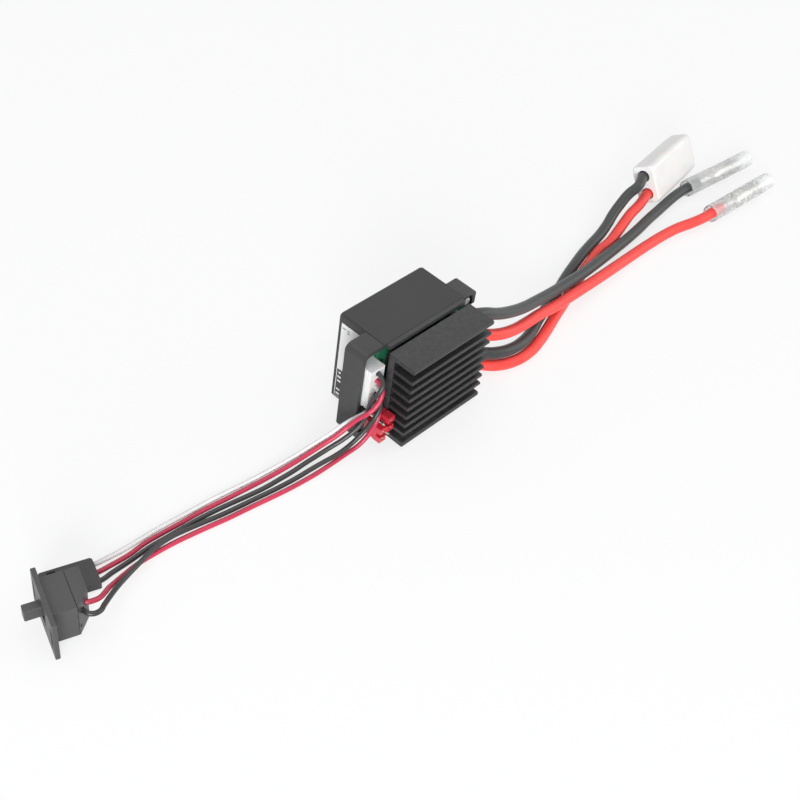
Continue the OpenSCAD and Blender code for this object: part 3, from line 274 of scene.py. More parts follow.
def noise(tree, coords, scale, detail=2):
    """Noise over coordinates, at a scale that is a socket or a number."""
    node = fill(tree.nodes.new("ShaderNodeTexNoise"), {"Detail": detail})
    tree.links.new(coords, node.inputs["Vector"])
    feed(tree, scale, node.inputs["Scale"])
    return node.outputs["Fac"]


def ramp(tree, value, low, high):
    """Goes from 0 to 1 while a value goes from low to high."""
    node = fill(tree.nodes.new("ShaderNodeMapRange"), {"From Min": low, "From Max": high})
    tree.links.new(value, node.inputs["Value"])
    return node.outputs[0]


def grain_group():
    """Fine moulded or cast grain: a height for the bump and a roughness that varies with it."""
    tree, start, end = group(
        "ESC grain",
        [("Scale", FLOAT, 3000), ("Stretch", FLOAT, 1), ("Roughness", FLOAT, 0.5), ("Spread", FLOAT, 0.1)],
        [("Roughness", FLOAT), ("Height", FLOAT)],
    )
    coords = object_coords(tree)
    along = fill(tree.nodes.new("ShaderNodeCombineXYZ"), {"Y": 1, "Z": 1})
    tree.links.new(start.outputs["Stretch"], along.inputs["X"])
    squeeze = tree.nodes.new("ShaderNodeVectorMath")
    squeeze.operation = "MULTIPLY"
    tree.links.new(coords, squeeze.inputs[0])
    tree.links.new(along.outputs[0], squeeze.inputs[1])
    scale, broad_share = start.outputs["Scale"], 0.06
    fine = noise(tree, squeeze.outputs[0], scale, 3)
    broad = noise(tree, coords, maths(tree, "MULTIPLY", scale, broad_share))
    both = maths(tree, "ADD", maths(tree, "MULTIPLY", fine, 0.5), maths(tree, "MULTIPLY", broad, 0.5))
    swing = maths(tree, "MULTIPLY", maths(tree, "SUBTRACT", both, 0.5), start.outputs["Spread"])
    rough = maths(tree, "ADD", start.outputs["Roughness"], maths(tree, "MULTIPLY", swing, 2), True)
    tree.links.new(rough, end.inputs["Roughness"])
    tree.links.new(fine, end.inputs["Height"])
    return tree


def mottle_group():
    """Broad, soft change between two colours, with fine specks of a third."""
    tree, start, end = group(
        "ESC mottle",
        [("Colour", COLOUR, (0.5, 0.5, 0.5, 1)), ("Other", COLOUR, (0.4, 0.4, 0.4, 1)),
         ("Speck", COLOUR, (0.8, 0.8, 0.8, 1)), ("Scale", FLOAT, 150), ("Speck share", FLOAT, 0.0)],
        [("Colour", COLOUR)],
    )
    coords = object_coords(tree)
    scale, specks_to_a_patch, speck_level = start.outputs["Scale"], 18, 0.68
    patches = ramp(tree, noise(tree, coords, scale, 3), 0.35, 0.65)
    base = mixed(tree, patches, start.outputs["Colour"], start.outputs["Other"])
    dots = noise(tree, coords, maths(tree, "MULTIPLY", scale, specks_to_a_patch), 1)
    over = maths(tree, "GREATER_THAN", dots, speck_level)
    share = maths(tree, "MULTIPLY", over, start.outputs["Speck share"])
    tree.links.new(mixed(tree, share, base, start.outputs["Speck"]), end.inputs["Colour"])
    return tree


def edge_group():
    """Mask of raised edges, broken up by noise: where handling has worn a finish, and on the heat sink also
    where a highlight is painted on the fin tips.
    """
    tree, start, end = group("ESC edge", [("Amount", FLOAT, 0.5)], [("Mask", FLOAT)])
    shape = tree.nodes.new("ShaderNodeNewGeometry")
    raised = ramp(tree, shape.outputs["Pointiness"], 0.52, 0.62)
    wear_and_sheen_scale = 900
    broken = maths(tree, "MULTIPLY", raised, noise(tree, object_coords(tree), wear_and_sheen_scale))
    tree.links.new(maths(tree, "MULTIPLY", broken, start.outputs["Amount"], True), end.inputs["Mask"])
    return tree


# ---- Materials ------------------------------------------------------------

# How much darker a finish's second colour is and how much lighter its worn edges are, where none is given
PATCH_SHADE, WORN_SHADE = 0.86, 3
BUMP_DEPTH = 0.0001


def shared(tree, name, values):
    """A shared group in a finish's tree, with its inputs set by their labels."""
    node = tree.nodes.new("ShaderNodeGroup")
    node.node_tree = MADE["groups"][name]
    return fill(node, values)


def material(name, colour, other=None, speck=None, specks=0.0, patch=150, rough=0.5, spread=0.1, grain=3000,
             stretch=1, bump=0.1, metallic=0.0, coat=0.0, edge=0.0, edge_colour=None, transmission=0.0,
             ior=1.45, subsurface=0.0, sheen=0.0):
    """Makes a finish of the shared groups around one Principled shader."""
    mat = bpy.data.materials.new(name)
    mat.use_nodes = True
    tree = mat.node_tree
    shader = tree.nodes["Principled BSDF"]
    other = other or [c * PATCH_SHADE for c in colour]
    speck = speck or colour
    paint = shared(tree, "mottle", {"Colour": (*colour, 1), "Other": (*other, 1), "Speck": (*speck, 1),
                                    "Scale": patch, "Speck share": specks})
    out = paint.outputs["Colour"]
    # Raised edges take a lighter colour: edge wear, and on the heat sink also a painted highlight on the fin
    # tips
    if edge:
        wear_and_sheen = shared(tree, "edge", {"Amount": edge})
        wear_and_sheen_colour = edge_colour or [min(1, c * WORN_SHADE) for c in colour]
        out = mixed(tree, wear_and_sheen.outputs["Mask"], out, wear_and_sheen_colour)
    tree.links.new(out, shader.inputs["Base Color"])
    skin = shared(tree, "grain", {"Scale": grain, "Stretch": stretch, "Roughness": rough, "Spread": spread})
    tree.links.new(skin.outputs["Roughness"], shader.inputs["Roughness"])
    relief = fill(tree.nodes.new("ShaderNodeBump"), {"Strength": bump, "Distance": BUMP_DEPTH})
    tree.links.new(skin.outputs["Height"], relief.inputs["Height"])
    tree.links.new(relief.outputs[0], shader.inputs["Normal"])
    fill(shader, {"Metallic": metallic, "Coat Weight": coat, "Coat Roughness": 0.15, "IOR": ior,
                  "Transmission Weight": transmission, "Subsurface Weight": subsurface,
                  "Subsurface Scale": 0.002, "Sheen Weight": sheen})
    MADE["materials"][name] = mat


def make_materials(c):
    """Every finish, by the name of the record's material slot or of the piece that wears it."""
    MADE["groups"] = {"grain": grain_group(), "mottle": mottle_group(), "edge": edge_group()}
    MADE["materials"] = {}
    material("case_plastic", c.case, grain=4200, bump=0.28, rough=0.5, spread=0.12, edge=0.25,
             patch=90)
    material("label_film", c.label, grain=1500, bump=0.04, rough=0.42, spread=0.08, patch=60)
    material("white_label", (0.78, 0.78, 0.78), (0.72, 0.72, 0.72), grain=2500, bump=0.05, rough=0.45)
    material("print_black", (0.03, 0.03, 0.032), grain=2500, bump=0.03, rough=0.45)
    material("board_green", (0.006, 0.085, 0.04), (0.01, 0.13, 0.06), (0.5, 0.52, 0.5), 0.5, patch=260,
             grain=1800, bump=0.08, rough=0.3, coat=0.3)
    material("steel_screw", (0.55, 0.55, 0.54), metallic=1, rough=0.32, grain=5000, bump=0.1)
    # The light grey edge colour of the black heat sink is painted highlight on the fin tips, over its edge
    # wear
    material("black_anodised", c.sink, metallic=0.2, rough=0.42, spread=0.12, grain=5200,
             stretch=0.03, bump=0.12, edge=0.5, edge_colour=(0.16, 0.16, 0.165), patch=70)
    material("pad_grey", (0.06, 0.06, 0.065), rough=0.7, grain=3500, bump=0.3)
    material("chip_black", (0.02, 0.02, 0.022), rough=0.55, grain=6000, bump=0.2)
    material("ceramic_tan", (0.42, 0.38, 0.33), (0.6, 0.6, 0.58), rough=0.4, grain=5000, patch=1500)
    material("capacitor_film", (0.02, 0.02, 0.045), rough=0.25, coat=0.4, grain=1500, bump=0.05)
    material("solder", (0.62, 0.63, 0.64), metallic=1, rough=0.28, spread=0.3, grain=1500, bump=0.5)
    material("header_white", c.header, (0.74, 0.74, 0.73), rough=0.4, grain=3000, bump=0.08,
             subsurface=0.15)
    material("gold_plate", (0.75, 0.55, 0.24), (0.62, 0.45, 0.2), metallic=1, rough=0.25, grain=4000,
             bump=0.1)
    material("socket_metal", (0.8, 0.77, 0.72), (0.6, 0.57, 0.53), metallic=1, rough=0.3, spread=0.2,
             grain=3000, bump=0.12)
    material("pin_tin", (0.86, 0.82, 0.72), metallic=1, rough=0.2, spread=0.15, grain=4000, bump=0.08)
    material("black_plastic", c.receiver_plug, rough=0.45, grain=4200, bump=0.15, edge=0.2)
    material("jumper_red", c.jumper, [v * 0.9 for v in c.jumper], rough=0.28, coat=0.35,
             grain=2500, bump=0.06, subsurface=0.1)
    material("wire_white", (0.8, 0.8, 0.79), (0.74, 0.74, 0.74), rough=0.42, grain=1200, bump=0.12,
             subsurface=0.1)
    material("wire_red", c.wire_red, rough=0.3, grain=1200, bump=0.12, subsurface=0.05)
    material("wire_black", (0.035, 0.033, 0.034), rough=0.3, grain=1200, bump=0.12)
    material("lead_black", c.lead_black, speck=(0.16, 0.17, 0.17), specks=0.35, patch=220, rough=0.4,
             spread=0.15, grain=2600, bump=0.3, sheen=0.1)
    material("lead_red", c.lead_red, [v * 0.93 for v in c.lead_red], speck=(1.0, 0.35, 0.3),
             specks=0.25, patch=220, rough=0.42, spread=0.15, grain=2600, bump=0.25, subsurface=0.1,
             sheen=0.05)
    material("clear_sleeve", (0.96, 0.965, 0.965), (0.9, 0.91, 0.91), rough=0.3, spread=0.15, grain=500,
             bump=0.35, transmission=0.86, ior=1.35, coat=0.2)
    material("battery_white", (0.82, 0.81, 0.79), (0.78, 0.77, 0.75), rough=0.3, grain=1600, bump=0.08,
             subsurface=0.35, coat=0.2)
    material("switch_plastic", c.switch, rough=0.42, grain=3800, bump=0.2, edge=0.3, patch=110)
    material("base_brown", (0.2, 0.12, 0.05), rough=0.5, grain=3000)
    material("knob_plastic", c.knob, rough=0.4, grain=3500, bump=0.1, edge=0.2)


# ---- Meshes ---------------------------------------------------------------

def link(name, data):
    """A new object in the scene that holds a mesh or a curve."""
    piece = bpy.data.objects.new(name, data)
    bpy.context.scene.collection.objects.link(piece)
    return piece


def baked(piece, name):
    """The plain mesh that a piece's modifiers give; the piece itself is removed."""
    graph = bpy.context.evaluated_depsgraph_get()
    mesh = bpy.data.meshes.new_from_object(piece.evaluated_get(graph), depsgraph=graph)
    mesh.name = name
    old = piece.data
    bpy.data.objects.remove(piece, do_unlink=True)
    if old.users == 0:
        bpy.data.meshes.remove(old)
    return mesh


def as_mesh(bm, name):
    """A new mesh from a bmesh, which is freed."""
    mesh = bpy.data.meshes.new(name)
    bm.to_mesh(mesh)
    bm.free()
    return mesh


def merged(node):
    """A copy of a node's mesh with its corners joined and its flat faces made whole."""
    bm = bmesh.new()
    bm.from_mesh(NODES[node].data)
    bmesh.ops.remove_doubles(bm, verts=bm.verts, dist=2e-6)
    bmesh.ops.dissolve_limit(bm, angle_limit=math.radians(0.6), verts=bm.verts, edges=bm.edges)
    return bm


def softened(bm, name, radius, segments=2, angle=32):
    """A mesh with its sharp edges rounded to a radius and its flat faces shaded flat."""
    piece = link("work", as_mesh(bm, name))
    if radius:
        bevel = piece.modifiers.new("edges", "BEVEL")
        bevel.width = radius
        bevel.segments = segments
        bevel.limit_method = "ANGLE"
        bevel.angle_limit = math.radians(angle)
        bevel.use_clamp_overlap = True
    made = baked(piece, name)
    made.shade_smooth()
    made.set_sharp_from_angle(angle=math.radians(40))
    piece = link("work", made)
    weigh = piece.modifiers.new("normals", "WEIGHTED_NORMAL")
    weigh.keep_sharp = True
    return baked(piece, name)


def place(name, mesh, slot, body=ROOT, stands_for=(), finish=None):
    """A finished piece: its finish, which is the slot's unless another is named, its body, and the nodes it
    stands for, which are hidden.
    """
    mesh.materials.clear()
    mesh.materials.append(MADE["materials"][finish or slot])
    piece = link(name, mesh)
    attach(piece, body)
    if stands_for:
        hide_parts(*stands_for)


def from_node(node, slot, radius, body=ROOT, segments=2):
    """A piece that stands for one node: the node's own shape with softened edges."""
    name = node + "_piece"
    place(name, softened(merged(node), name, radius, segments), slot, body, (node,))


def dress(node, slot):
    """Gives a node that stays as it is its finish."""
    mesh = NODES[node].data
    mesh.materials.clear()
    mesh.materials.append(MADE["materials"][slot])


def skinned(bm, rings, closed=False):
    """Joins rings of vertices with faces, and caps the end rings unless the last one meets the first."""
    next_rings = rings[1:] + rings[:1] if closed else rings[1:]
    for near, far in zip(rings, next_rings):
        for k in range(len(near)):
            n = (k + 1) % len(near)
            bm.faces.new((near[k], near[n], far[n], far[k]))
    if not closed:
        bm.faces.new(rings[0][::-1])
        bm.faces.new(rings[-1])
    bmesh.ops.remove_doubles(bm, verts=bm.verts, dist=1e-7)
    bmesh.ops.recalc_face_normals(bm, faces=bm.faces)


def extruded(bm, outline, x0, x1):
    """Adds a prism along X from an outline of (y, z) points."""
    skinned(bm, [[bm.verts.new((x, y, z)) for y, z in outline] for x in (x0, x1)])


def lathed(bm, profile, spot, turn, closed):
    """Adds a turned shape from a profile of (distance along, radius), at a spot and turned about Z."""
    sides = 48
    angles = [2 * math.pi * k / sides for k in range(sides)]
    lay = Matrix.Translation(spot) @ Matrix.Rotation(math.radians(turn), 4, "Z")
    rings = [[bm.verts.new(lay @ Vector((along, radius * math.cos(a), radius * math.sin(a))))
              for a in angles] for along, radius in profile]
    skinned(bm, rings, closed)


# ---- Geometry Nodes -------------------------------------------------------

# Where a Random Value node keeps its yes or no
CHOICE_OUTPUT = 3


def geometry_tree(name, inputs):
    """A new geometry tree with named inputs, and its two end nodes."""
    tree = bpy.data.node_groups.new(name, "GeometryNodeTree")
    tree.interface.new_socket(name="Geometry", in_out="INPUT", socket_type="NodeSocketGeometry")
    for label, kind, value in inputs:
        socket = tree.interface.new_socket(name=label, in_out="INPUT", socket_type=kind)
        if value is not None:
            socket.default_value = value
    tree.interface.new_socket(name="Geometry", in_out="OUTPUT", socket_type="NodeSocketGeometry")
    return tree, tree.nodes.new("NodeGroupInput"), tree.nodes.new("NodeGroupOutput")


def finish_tree(tree, end, geometry, mat):
    """Ends a tree in realized instances that wear a material."""
    real = tree.nodes.new("GeometryNodeRealizeInstances")
    wear = tree.nodes.new("GeometryNodeSetMaterial")
    wear.inputs["Material"].default_value = mat
    tree.links.new(geometry, real.inputs[0])
    tree.links.new(real.outputs[0], wear.inputs["Geometry"])
    tree.links.new(wear.outputs[0], end.inputs[0])


def row_tree(mat):
    """Copies the piece it is on along a straight row."""
    tree, start, end = geometry_tree("ESC row", [("Count", "NodeSocketInt", 7),
                                                 ("Step", "NodeSocketVector", None)])
    line = tree.nodes.new("GeometryNodeMeshLine")
    tree.links.new(start.outputs["Count"], line.inputs["Count"])
    tree.links.new(start.outputs["Step"], line.inputs["Offset"])
    copies = tree.nodes.new("GeometryNodeInstanceOnPoints")
    tree.links.new(line.outputs[0], copies.inputs["Points"])
    tree.links.new(start.outputs["Geometry"], copies.inputs["Instance"])
    finish_tree(tree, end, copies.outputs[0], mat)
    return tree


def marks_tree(mat):
    """Rows of small raised printed bars of uneven length, some left out, on a flat grid."""
    tree, start, end = geometry_tree("ESC print marks", [
        ("Width", FLOAT, 0.006), ("Height", FLOAT, 0.008), ("Columns", "NodeSocketInt", 4),
        ("Rows", "NodeSocketInt", 6), ("Bar", "NodeSocketVector", None), ("Seed", "NodeSocketInt", 3)])
    grid = tree.nodes.new("GeometryNodeMeshGrid")
    for source, target in (("Width", "Size X"), ("Height", "Size Y"), ("Columns", "Vertices X"),
                           ("Rows", "Vertices Y")):
        tree.links.new(start.outputs[source], grid.inputs[target])
    pick = tree.nodes.new("FunctionNodeRandomValue")
    pick.data_type = "BOOLEAN"
    pick.inputs["Probability"].default_value = 0.8
    tree.links.new(start.outputs["Seed"], pick.inputs["Seed"])
    length = tree.nodes.new("FunctionNodeRandomValue")
    length.data_type = "FLOAT_VECTOR"
    length.inputs[0].default_value = (0.45, 1, 1)
    length.inputs[1].default_value = (1.25, 1, 1)
    tree.links.new(start.outputs["Seed"], length.inputs["Seed"])
    bar = tree.nodes.new("GeometryNodeMeshCube")
    tree.links.new(start.outputs["Bar"], bar.inputs["Size"])
    copies = tree.nodes.new("GeometryNodeInstanceOnPoints")
    tree.links.new(grid.outputs[0], copies.inputs["Points"])
    tree.links.new(bar.outputs[0], copies.inputs["Instance"])
    tree.links.new(length.outputs[0], copies.inputs["Scale"])
    tree.links.new(pick.outputs[CHOICE_OUTPUT], copies.inputs["Selection"])
    finish_tree(tree, end, copies.outputs[0], mat)
    return tree


def grown(tree, name, values, mesh=None):
    """The plain mesh a geometry tree makes on a mesh with its inputs set by their sockets' identifiers."""
    piece = link("work", mesh or bpy.data.meshes.new("seed"))
    grow = piece.modifiers.new("grow", "NODES")
    grow.node_group = tree
    for item in tree.interface.items_tree:
        if item.in_out == "INPUT" and item.name in values:
            grow[item.identifier] = values[item.name]
    return baked(piece, name)


def turned(mesh, matrix):
    """The same mesh, moved by a matrix."""
    mesh.transform(matrix)
    return mesh


def joined(name, *meshes):
    """One mesh from several."""
    bm = bmesh.new()
    for mesh in meshes:
        bm.from_mesh(mesh)
        bpy.data.meshes.remove(mesh)
    return as_mesh(bm, name)


# ---- Sizes and colours ----------------------------------------------------

def size_field(name, description, value):
    """A length in the panel."""
    return bpy.props.FloatProperty(name=name, description=description, default=value, min=0, unit="LENGTH",
                                   precision=5)


def colour_field(name, description, value):
    """A colour in the panel."""
    return bpy.props.FloatVectorProperty(name=name, description=description, default=value, subtype="COLOR")


class ESC_Sizes(bpy.types.PropertyGroup):
    edge: size_field("Case edge", "Radius of the case's moulded edges", 0.00035)
    small_edge: size_field("Connector edge", "Radius of the connectors' edges", 0.00018)
    fins: bpy.props.IntProperty(name="Inner fins", description="Fins between the two outer ones",
                                default=7, min=1)
    fin_pitch: size_field("Fin pitch", "Distance between inner fins", 0.0031)
    fin_thickness: size_field("Fin thickness", "Thickness of an inner fin", 0.0011)


class ESC_Colours(bpy.types.PropertyGroup):
    case: colour_field("Case", "Moulded case", (0.032, 0.032, 0.033))
    label: colour_field("Label", "Printed label on the case", (0.02, 0.02, 0.021))
    sink: colour_field("Heat sink", "Black anodising", (0.019, 0.019, 0.02))
    header: colour_field("Signal plug", "White plug and header", (0.76, 0.76, 0.75))
    jumper: colour_field("Jumper caps", "Red jumper caps", (0.56, 0.028, 0.05))
    wire_red: colour_field("Red wires", "Thin red wires", (0.5, 0.03, 0.075))
    lead_red: colour_field("Red leads", "Thick red leads", (0.88, 0.055, 0.045))
    lead_black: colour_field("Black leads", "Thick black leads", (0.028, 0.031, 0.031))
    receiver_plug: colour_field("Receiver plug", "Black three-way plug", (0.03, 0.03, 0.031))
    switch: colour_field("Switch", "Power switch housing", (0.05, 0.05, 0.051))
    knob: colour_field("Knob", "Slider knob", (0.06, 0.06, 0.062))


# ---- Pieces ---------------------------------------------------------------

def rounded_tip(y_tip, y_root, z_low, z_high):
    """Outline of a fin with its tip rounded, from the root round the tip and back."""
    steps, largest = 6, 0.55 * MM
    r = min((z_high - z_low) / 2, largest)
    turns = [math.pi / 2 * k / steps for k in range(steps + 1)]
    low = [(y_tip + r - r * math.sin(a), z_low + r - r * math.cos(a)) for a in turns]
    high = [(y_tip + r - r * math.cos(a), z_high - r + r * math.sin(a)) for a in turns]
    return [(y_root, z_low), *low, *high, (y_root, z_high)]


class Maker:
    """What every piece's operator shares."""
    bl_options = {"REGISTER", "UNDO"}


class ESC_OT_camera(Maker, bpy.types.Operator):
    """Camera that looks down on the controller from its signal end"""
    bl_idname = "esc.camera"
    bl_label = "Camera"

    def execute(self, context):
        lens = bpy.data.cameras.new("camera")
        lens.lens = 56.23
        lens.sensor_width = 36
        lens.shift_x = 0.0156
        lens.shift_y = -0.0034
        lens.clip_start = 0.01
        camera = link("camera", lens)
        right = Vector(CAMERA_RIGHT).normalized()
        back = -Vector(CAMERA_SIGHT).normalized()
        up = back.cross(right).normalized()
        right = up.cross(back)
        turn = Matrix((right, up, back)).transposed().to_4x4()
        camera.matrix_world = Matrix.Translation(CAMERA_SPOT) @ turn
        context.scene.camera = camera
        return {"FINISHED"}


class ESC_OT_materials(Maker, bpy.types.Operator):
    """Finishes of every piece"""
    bl_idname = "esc.materials"
    bl_label = "Finishes"

    def execute(self, context):
        make_materials(context.scene.esc_colours)
        return {"FINISHED"}


def declare(pieces):
    """Looks up by name the pieces that sit on a cord, and does nothing more with them."""
    pieces = [bpy.data.objects[piece] for piece in pieces]


class ESC_OT_cords(Maker, bpy.types.Operator):
    """Five signal wires and four power leads"""
    bl_idname = "esc.cords"
    bl_label = "Wires and leads"

    def execute(self, context):
        for name, points in ROUTES.items():
            kind, colour = name.rsplit("_", 1)
            width, stiffness, far_end, slot = CORDS[kind]
            slot += colour
            line = bpy.data.curves.new(name + "_piece", "CURVE")
            line.dimensions = "3D"
            spline = line.splines.new("BEZIER")
            spline.bezier_points.add(len(points) - 1)
            for knot, point in zip(spline.bezier_points, points):
                knot.co = point
                knot.handle_left_type = knot.handle_right_type = "AUTO"
            line.bevel_depth = width / 2
            line.bevel_resolution = 6
            line.resolution_u = 6
            line.use_fill_caps = True
            line.materials.append(MADE["materials"][slot])
            cord = link(name + "_piece", line)
            context.view_layer.update()
            length = spline.calc_length()
            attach(cord, ROOT)
            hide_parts(name)
            MADE[name] = (cord, round(length, 4), width, far_end, stiffness)
        return {"FINISHED"}


def end_print(name, spot, finish, values):
    """Small printed bars on the end sticker, turned to face -X."""
    stand = Matrix.Translation(spot) @ Matrix(((0, 0, 1, 0), (1, 0, 0, 0), (0, 1, 0, 0), (0, 0, 0, 1)))
    bars = grown(marks_tree(MADE["materials"][finish]), name, values)
    place(name, turned(bars, stand), "white_label", finish=finish)


class ESC_OT_case(Maker, bpy.types.Operator):
    """Moulded case with its plain label and end sticker"""
    bl_idname = "esc.case"
    bl_label = "Case"

    def execute(self, context):
        from_node("case_shell", "case_plastic", context.scene.esc_sizes.edge, segments=3)
        from_node("label_sticker", "label_film", THIN_EDGE)
        from_node("end_sticker", "white_label", 0.00005)
        low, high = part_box("end_sticker")
        face, middle = low[0], (low[1] + high[1]) / 2
        band_z = low[2] + 0.0052
        band_depth, print_gap = 0.00004, 0.00001
        band_size = (band_depth, high[1] - low[1] - 0.0006, 0.0098)
        band = bmesh.new()
        bmesh.ops.create_cube(band, size=1)
        bmesh.ops.scale(band, vec=band_size, verts=band.verts)
        bmesh.ops.translate(band, vec=(face - band_depth / 2, middle, band_z), verts=band.verts)
        band = softened(band, "sticker_band_piece", 0)
        place("sticker_band_piece", band, "white_label", finish="print_black")
        end_print("sticker_print_piece", (face - band_depth - print_gap, middle, band_z), "white_label",
                  {"Width": 0.0052, "Height": 0.0078, "Columns": 4, "Rows": 6,
                   "Bar": (0.0011, 0.00062, 0.00003), "Seed": 5})
        corner = (face - print_gap, high[1] - 0.0019, high[2] - 0.0022)
        end_print("sticker_mark_piece", corner, "print_black",
                  {"Width": 0.0016, "Height": 0.0016, "Columns": 2, "Rows": 3,
                   "Bar": (0.0009, 0.0003, 0.00003), "Seed": 2})
        return {"FINISHED"}


class ESC_OT_heat_sink(Maker, bpy.types.Operator):
    """Extruded heat sink: a base plate, two outer fins and a row of inner fins"""
    bl_idname = "esc.heat_sink"
    bl_label = "Heat sink"

    def execute(self, context):
        sizes = context.scene.esc_sizes
        plate, outer, sunk = 2.2 * MM, 1.5 * MM, 0.2 * MM
        plate_edge, fin_edge, edge_angle = 0.00016, 0.00012, 60
        low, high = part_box("heat_sink")
        base = high[1] - plate
        body = bmesh.new()
        lower = rounded_tip(low[1], base, low[2], low[2] + outer)
        upper = rounded_tip(low[1], base, high[2] - outer, high[2])
        outline = lower[1:] + upper[:-1] + [(high[1], high[2]), (high[1], low[2])]
        extruded(body, outline, low[0], high[0])
        middle = (low[2] + high[2]) / 2
        start = middle - (sizes.fins - 1) / 2 * sizes.fin_pitch
        half = sizes.fin_thickness / 2
        fin = bmesh.new()
        extruded(fin, rounded_tip(low[1], base + sunk, start - half, start + half), low[0], high[0])
        fins = grown(row_tree(MADE["materials"]["black_anodised"]), "fins",
                     {"Count": sizes.fins, "Step": (0, 0, sizes.fin_pitch)},
                     softened(fin, "fin", fin_edge, angle=edge_angle))
        sink = joined("heat_sink_piece", softened(body, "sink", plate_edge, angle=edge_angle), fins)
        place("heat_sink_piece", sink, "black_anodised", stands_for=("heat_sink",))
        dress("heat_sink_screws", "steel_screw")
        dress("thermal_pad", "pad_grey")
        return {"FINISHED"}


class ESC_OT_board(Maker, bpy.types.Operator):
    """Circuit board and the parts on it"""
    bl_idname = "esc.board"
    bl_label = "Circuit board"

    def execute(self, context):
        for node, slot, edge, segments in (
                ("circuit_board", "board_green", CUT_EDGE, 2), ("board_screws", "steel_screw", THIN_EDGE, 2),
                ("solder_joints", "solder", SOFT_EDGE, 3), ("chip_components", "ceramic_tan", THIN_EDGE, 2),
                ("jumper_base", "black_plastic", CUT_EDGE, 2)):
            from_node(node, slot, edge, segments=segments)
        for node, slot in (("power_transistors", "chip_black"), ("microcontroller", "chip_black"),
                           ("voltage_regulators", "chip_black"), ("filter_capacitors", "capacitor_film"),
                           ("capacitor_leads", "solder")):
            dress(node, slot)
        return {"FINISHED"}


class ESC_OT_signal(Maker, bpy.types.Operator):
    """Five-way header and plug"""
    bl_idname = "esc.signal"
    bl_label = "Signal plug"

    def execute(self, context):
        small = context.scene.esc_sizes.small_edge
        from_node("signal_header", "header_white", small)
        from_node("signal_plug", "header_white", small, segments=3)
        dress("header_pins", "gold_plate")
        dress("signal_plug_contacts", "gold_plate")
        return {"FINISHED"}


class ESC_OT_jumpers(Maker, bpy.types.Operator):
    """Jumper pins and the two red caps"""
    bl_idname = "esc.jumpers"
    bl_label = "Jumpers"

    def execute(self, context):
        small = context.scene.esc_sizes.small_edge
        from_node("jumper_pins", "pin_tin", THIN_EDGE)
        for which in ("upper", "lower"):
            cap = "jumper_cap_" + which
            from_node(cap, "jumper_red", small, cap, 3)
            dress("jumper_clip_" + which, "pin_tin")
        return {"FINISHED"}


class ESC_OT_switch(Maker, bpy.types.Operator):
    """Power switch with its flange, cover and slider"""
    bl_idname = "esc.switch"
    bl_label = "Power switch"

    def execute(self, context):
        from_node("switch_housing", "switch_plastic", SOFT_EDGE, segments=3)
        from_node("switch_rear_cover", "switch_plastic", SOFT_EDGE, segments=3)
        from_node("switch_slider", "knob_plastic", 0.0003, "switch_slider", 3)
        dress("slider_contact", "gold_plate")
        dress("switch_base", "base_brown")
        dress("switch_terminals", "pin_tin")
        held = ["switch_housing_piece", "switch_rear_cover_piece", "switch_base", "switch_terminals",
                "switch_slider_piece", "slider_contact"]
        for colour in ("red", "black"):
            declare(held)
        return {"FINISHED"}


class ESC_OT_receiver_plug(Maker, bpy.types.Operator):
    """Flat three-way receiver plug"""
    bl_idname = "esc.receiver_plug"
    bl_label = "Receiver plug"

    def execute(self, context):
        from_node("servo_plug", "black_plastic", 0.00015)
        dress("servo_plug_contacts", "gold_plate")
        for colour in ("white", "red", "black"):
            declare(["servo_plug_piece", "servo_plug_contacts"])
        return {"FINISHED"}


def sleeve_profile(colour):
    """A thin sleeve's section as (distance along, radius) in millimetres, with soft random waves."""
    length, outer, inner, lip, depth, inner_share = 34, 2.98, 2.5, 2.75, 0.05, 0.6
    dice = random.Random(colour)
    waves = [dice.uniform(-depth, 0.0) for _ in range(length + 1)]
    waves[0] = waves[-1] = 0
    skin = [(k, outer + wave) for k, wave in enumerate(waves)]
    skin[0], skin[-1] = (0.15, outer - depth), (length - 0.15, outer - depth)
    bore = [(k, inner + wave * inner_share) for k, wave in enumerate(waves)]
    return skin + [(length, lip)] + bore[:0:-1] + [(0.12, 2.53), (0, lip)]


def round_piece(name, profile, seat, closed, slot, finish=None):
    """A turned piece on a motor lead, from a profile in millimetres, at a seat's spot and turn."""
    shape = bmesh.new()
    lathed(shape, [(along * MM, radius * MM) for along, radius in profile], *seat, closed)
    place(name + "_piece", softened(shape, name + "_piece", 0), slot, stands_for=(name,), finish=finish)


class ESC_OT_motor_ends(Maker, bpy.types.Operator):
    """Clear sleeves and the bullet sockets inside them"""
    bl_idname = "esc.motor_ends"
    bl_label = "Motor sockets"

    def execute(self, context):
        for colour, seat in SOCKETS.items():
            sleeve, socket = "motor_sleeve_" + colour, "motor_socket_" + colour
            round_piece(sleeve, sleeve_profile(colour), seat, True, "clear_sleeve")
            round_piece(socket, SOCKET_PROFILE, seat, False, "gold_plate", "socket_metal")
            declare([socket + "_piece", sleeve + "_piece"])
        return {"FINISHED"}


def battery_body():
    """The battery plug's solid body along X: rings of a rounded rectangle that draw in at both ends."""
    width, height, corner = 0.0136, 0.008, 0.0019
    corner_steps, quarters = 6, ((1, 1), (-1, 1), (-1, -1), (1, -1))
    body = bmesh.new()
    rings = []
    for x, share in BATTERY_RINGS:
        ring = []
        for k, (side, up) in enumerate(quarters):
            for step in range(corner_steps + 1):
                turn = math.radians(90 * (k + step / corner_steps))
                y = side * (width / 2 - corner) + corner * math.cos(turn)
                z = up * (height / 2 - corner) + corner * math.sin(turn)
                ring.append(body.verts.new((x, y * share, z * share)))
        rings.append(ring)
    skinned(body, rings)
    return as_mesh(body, "battery_body")


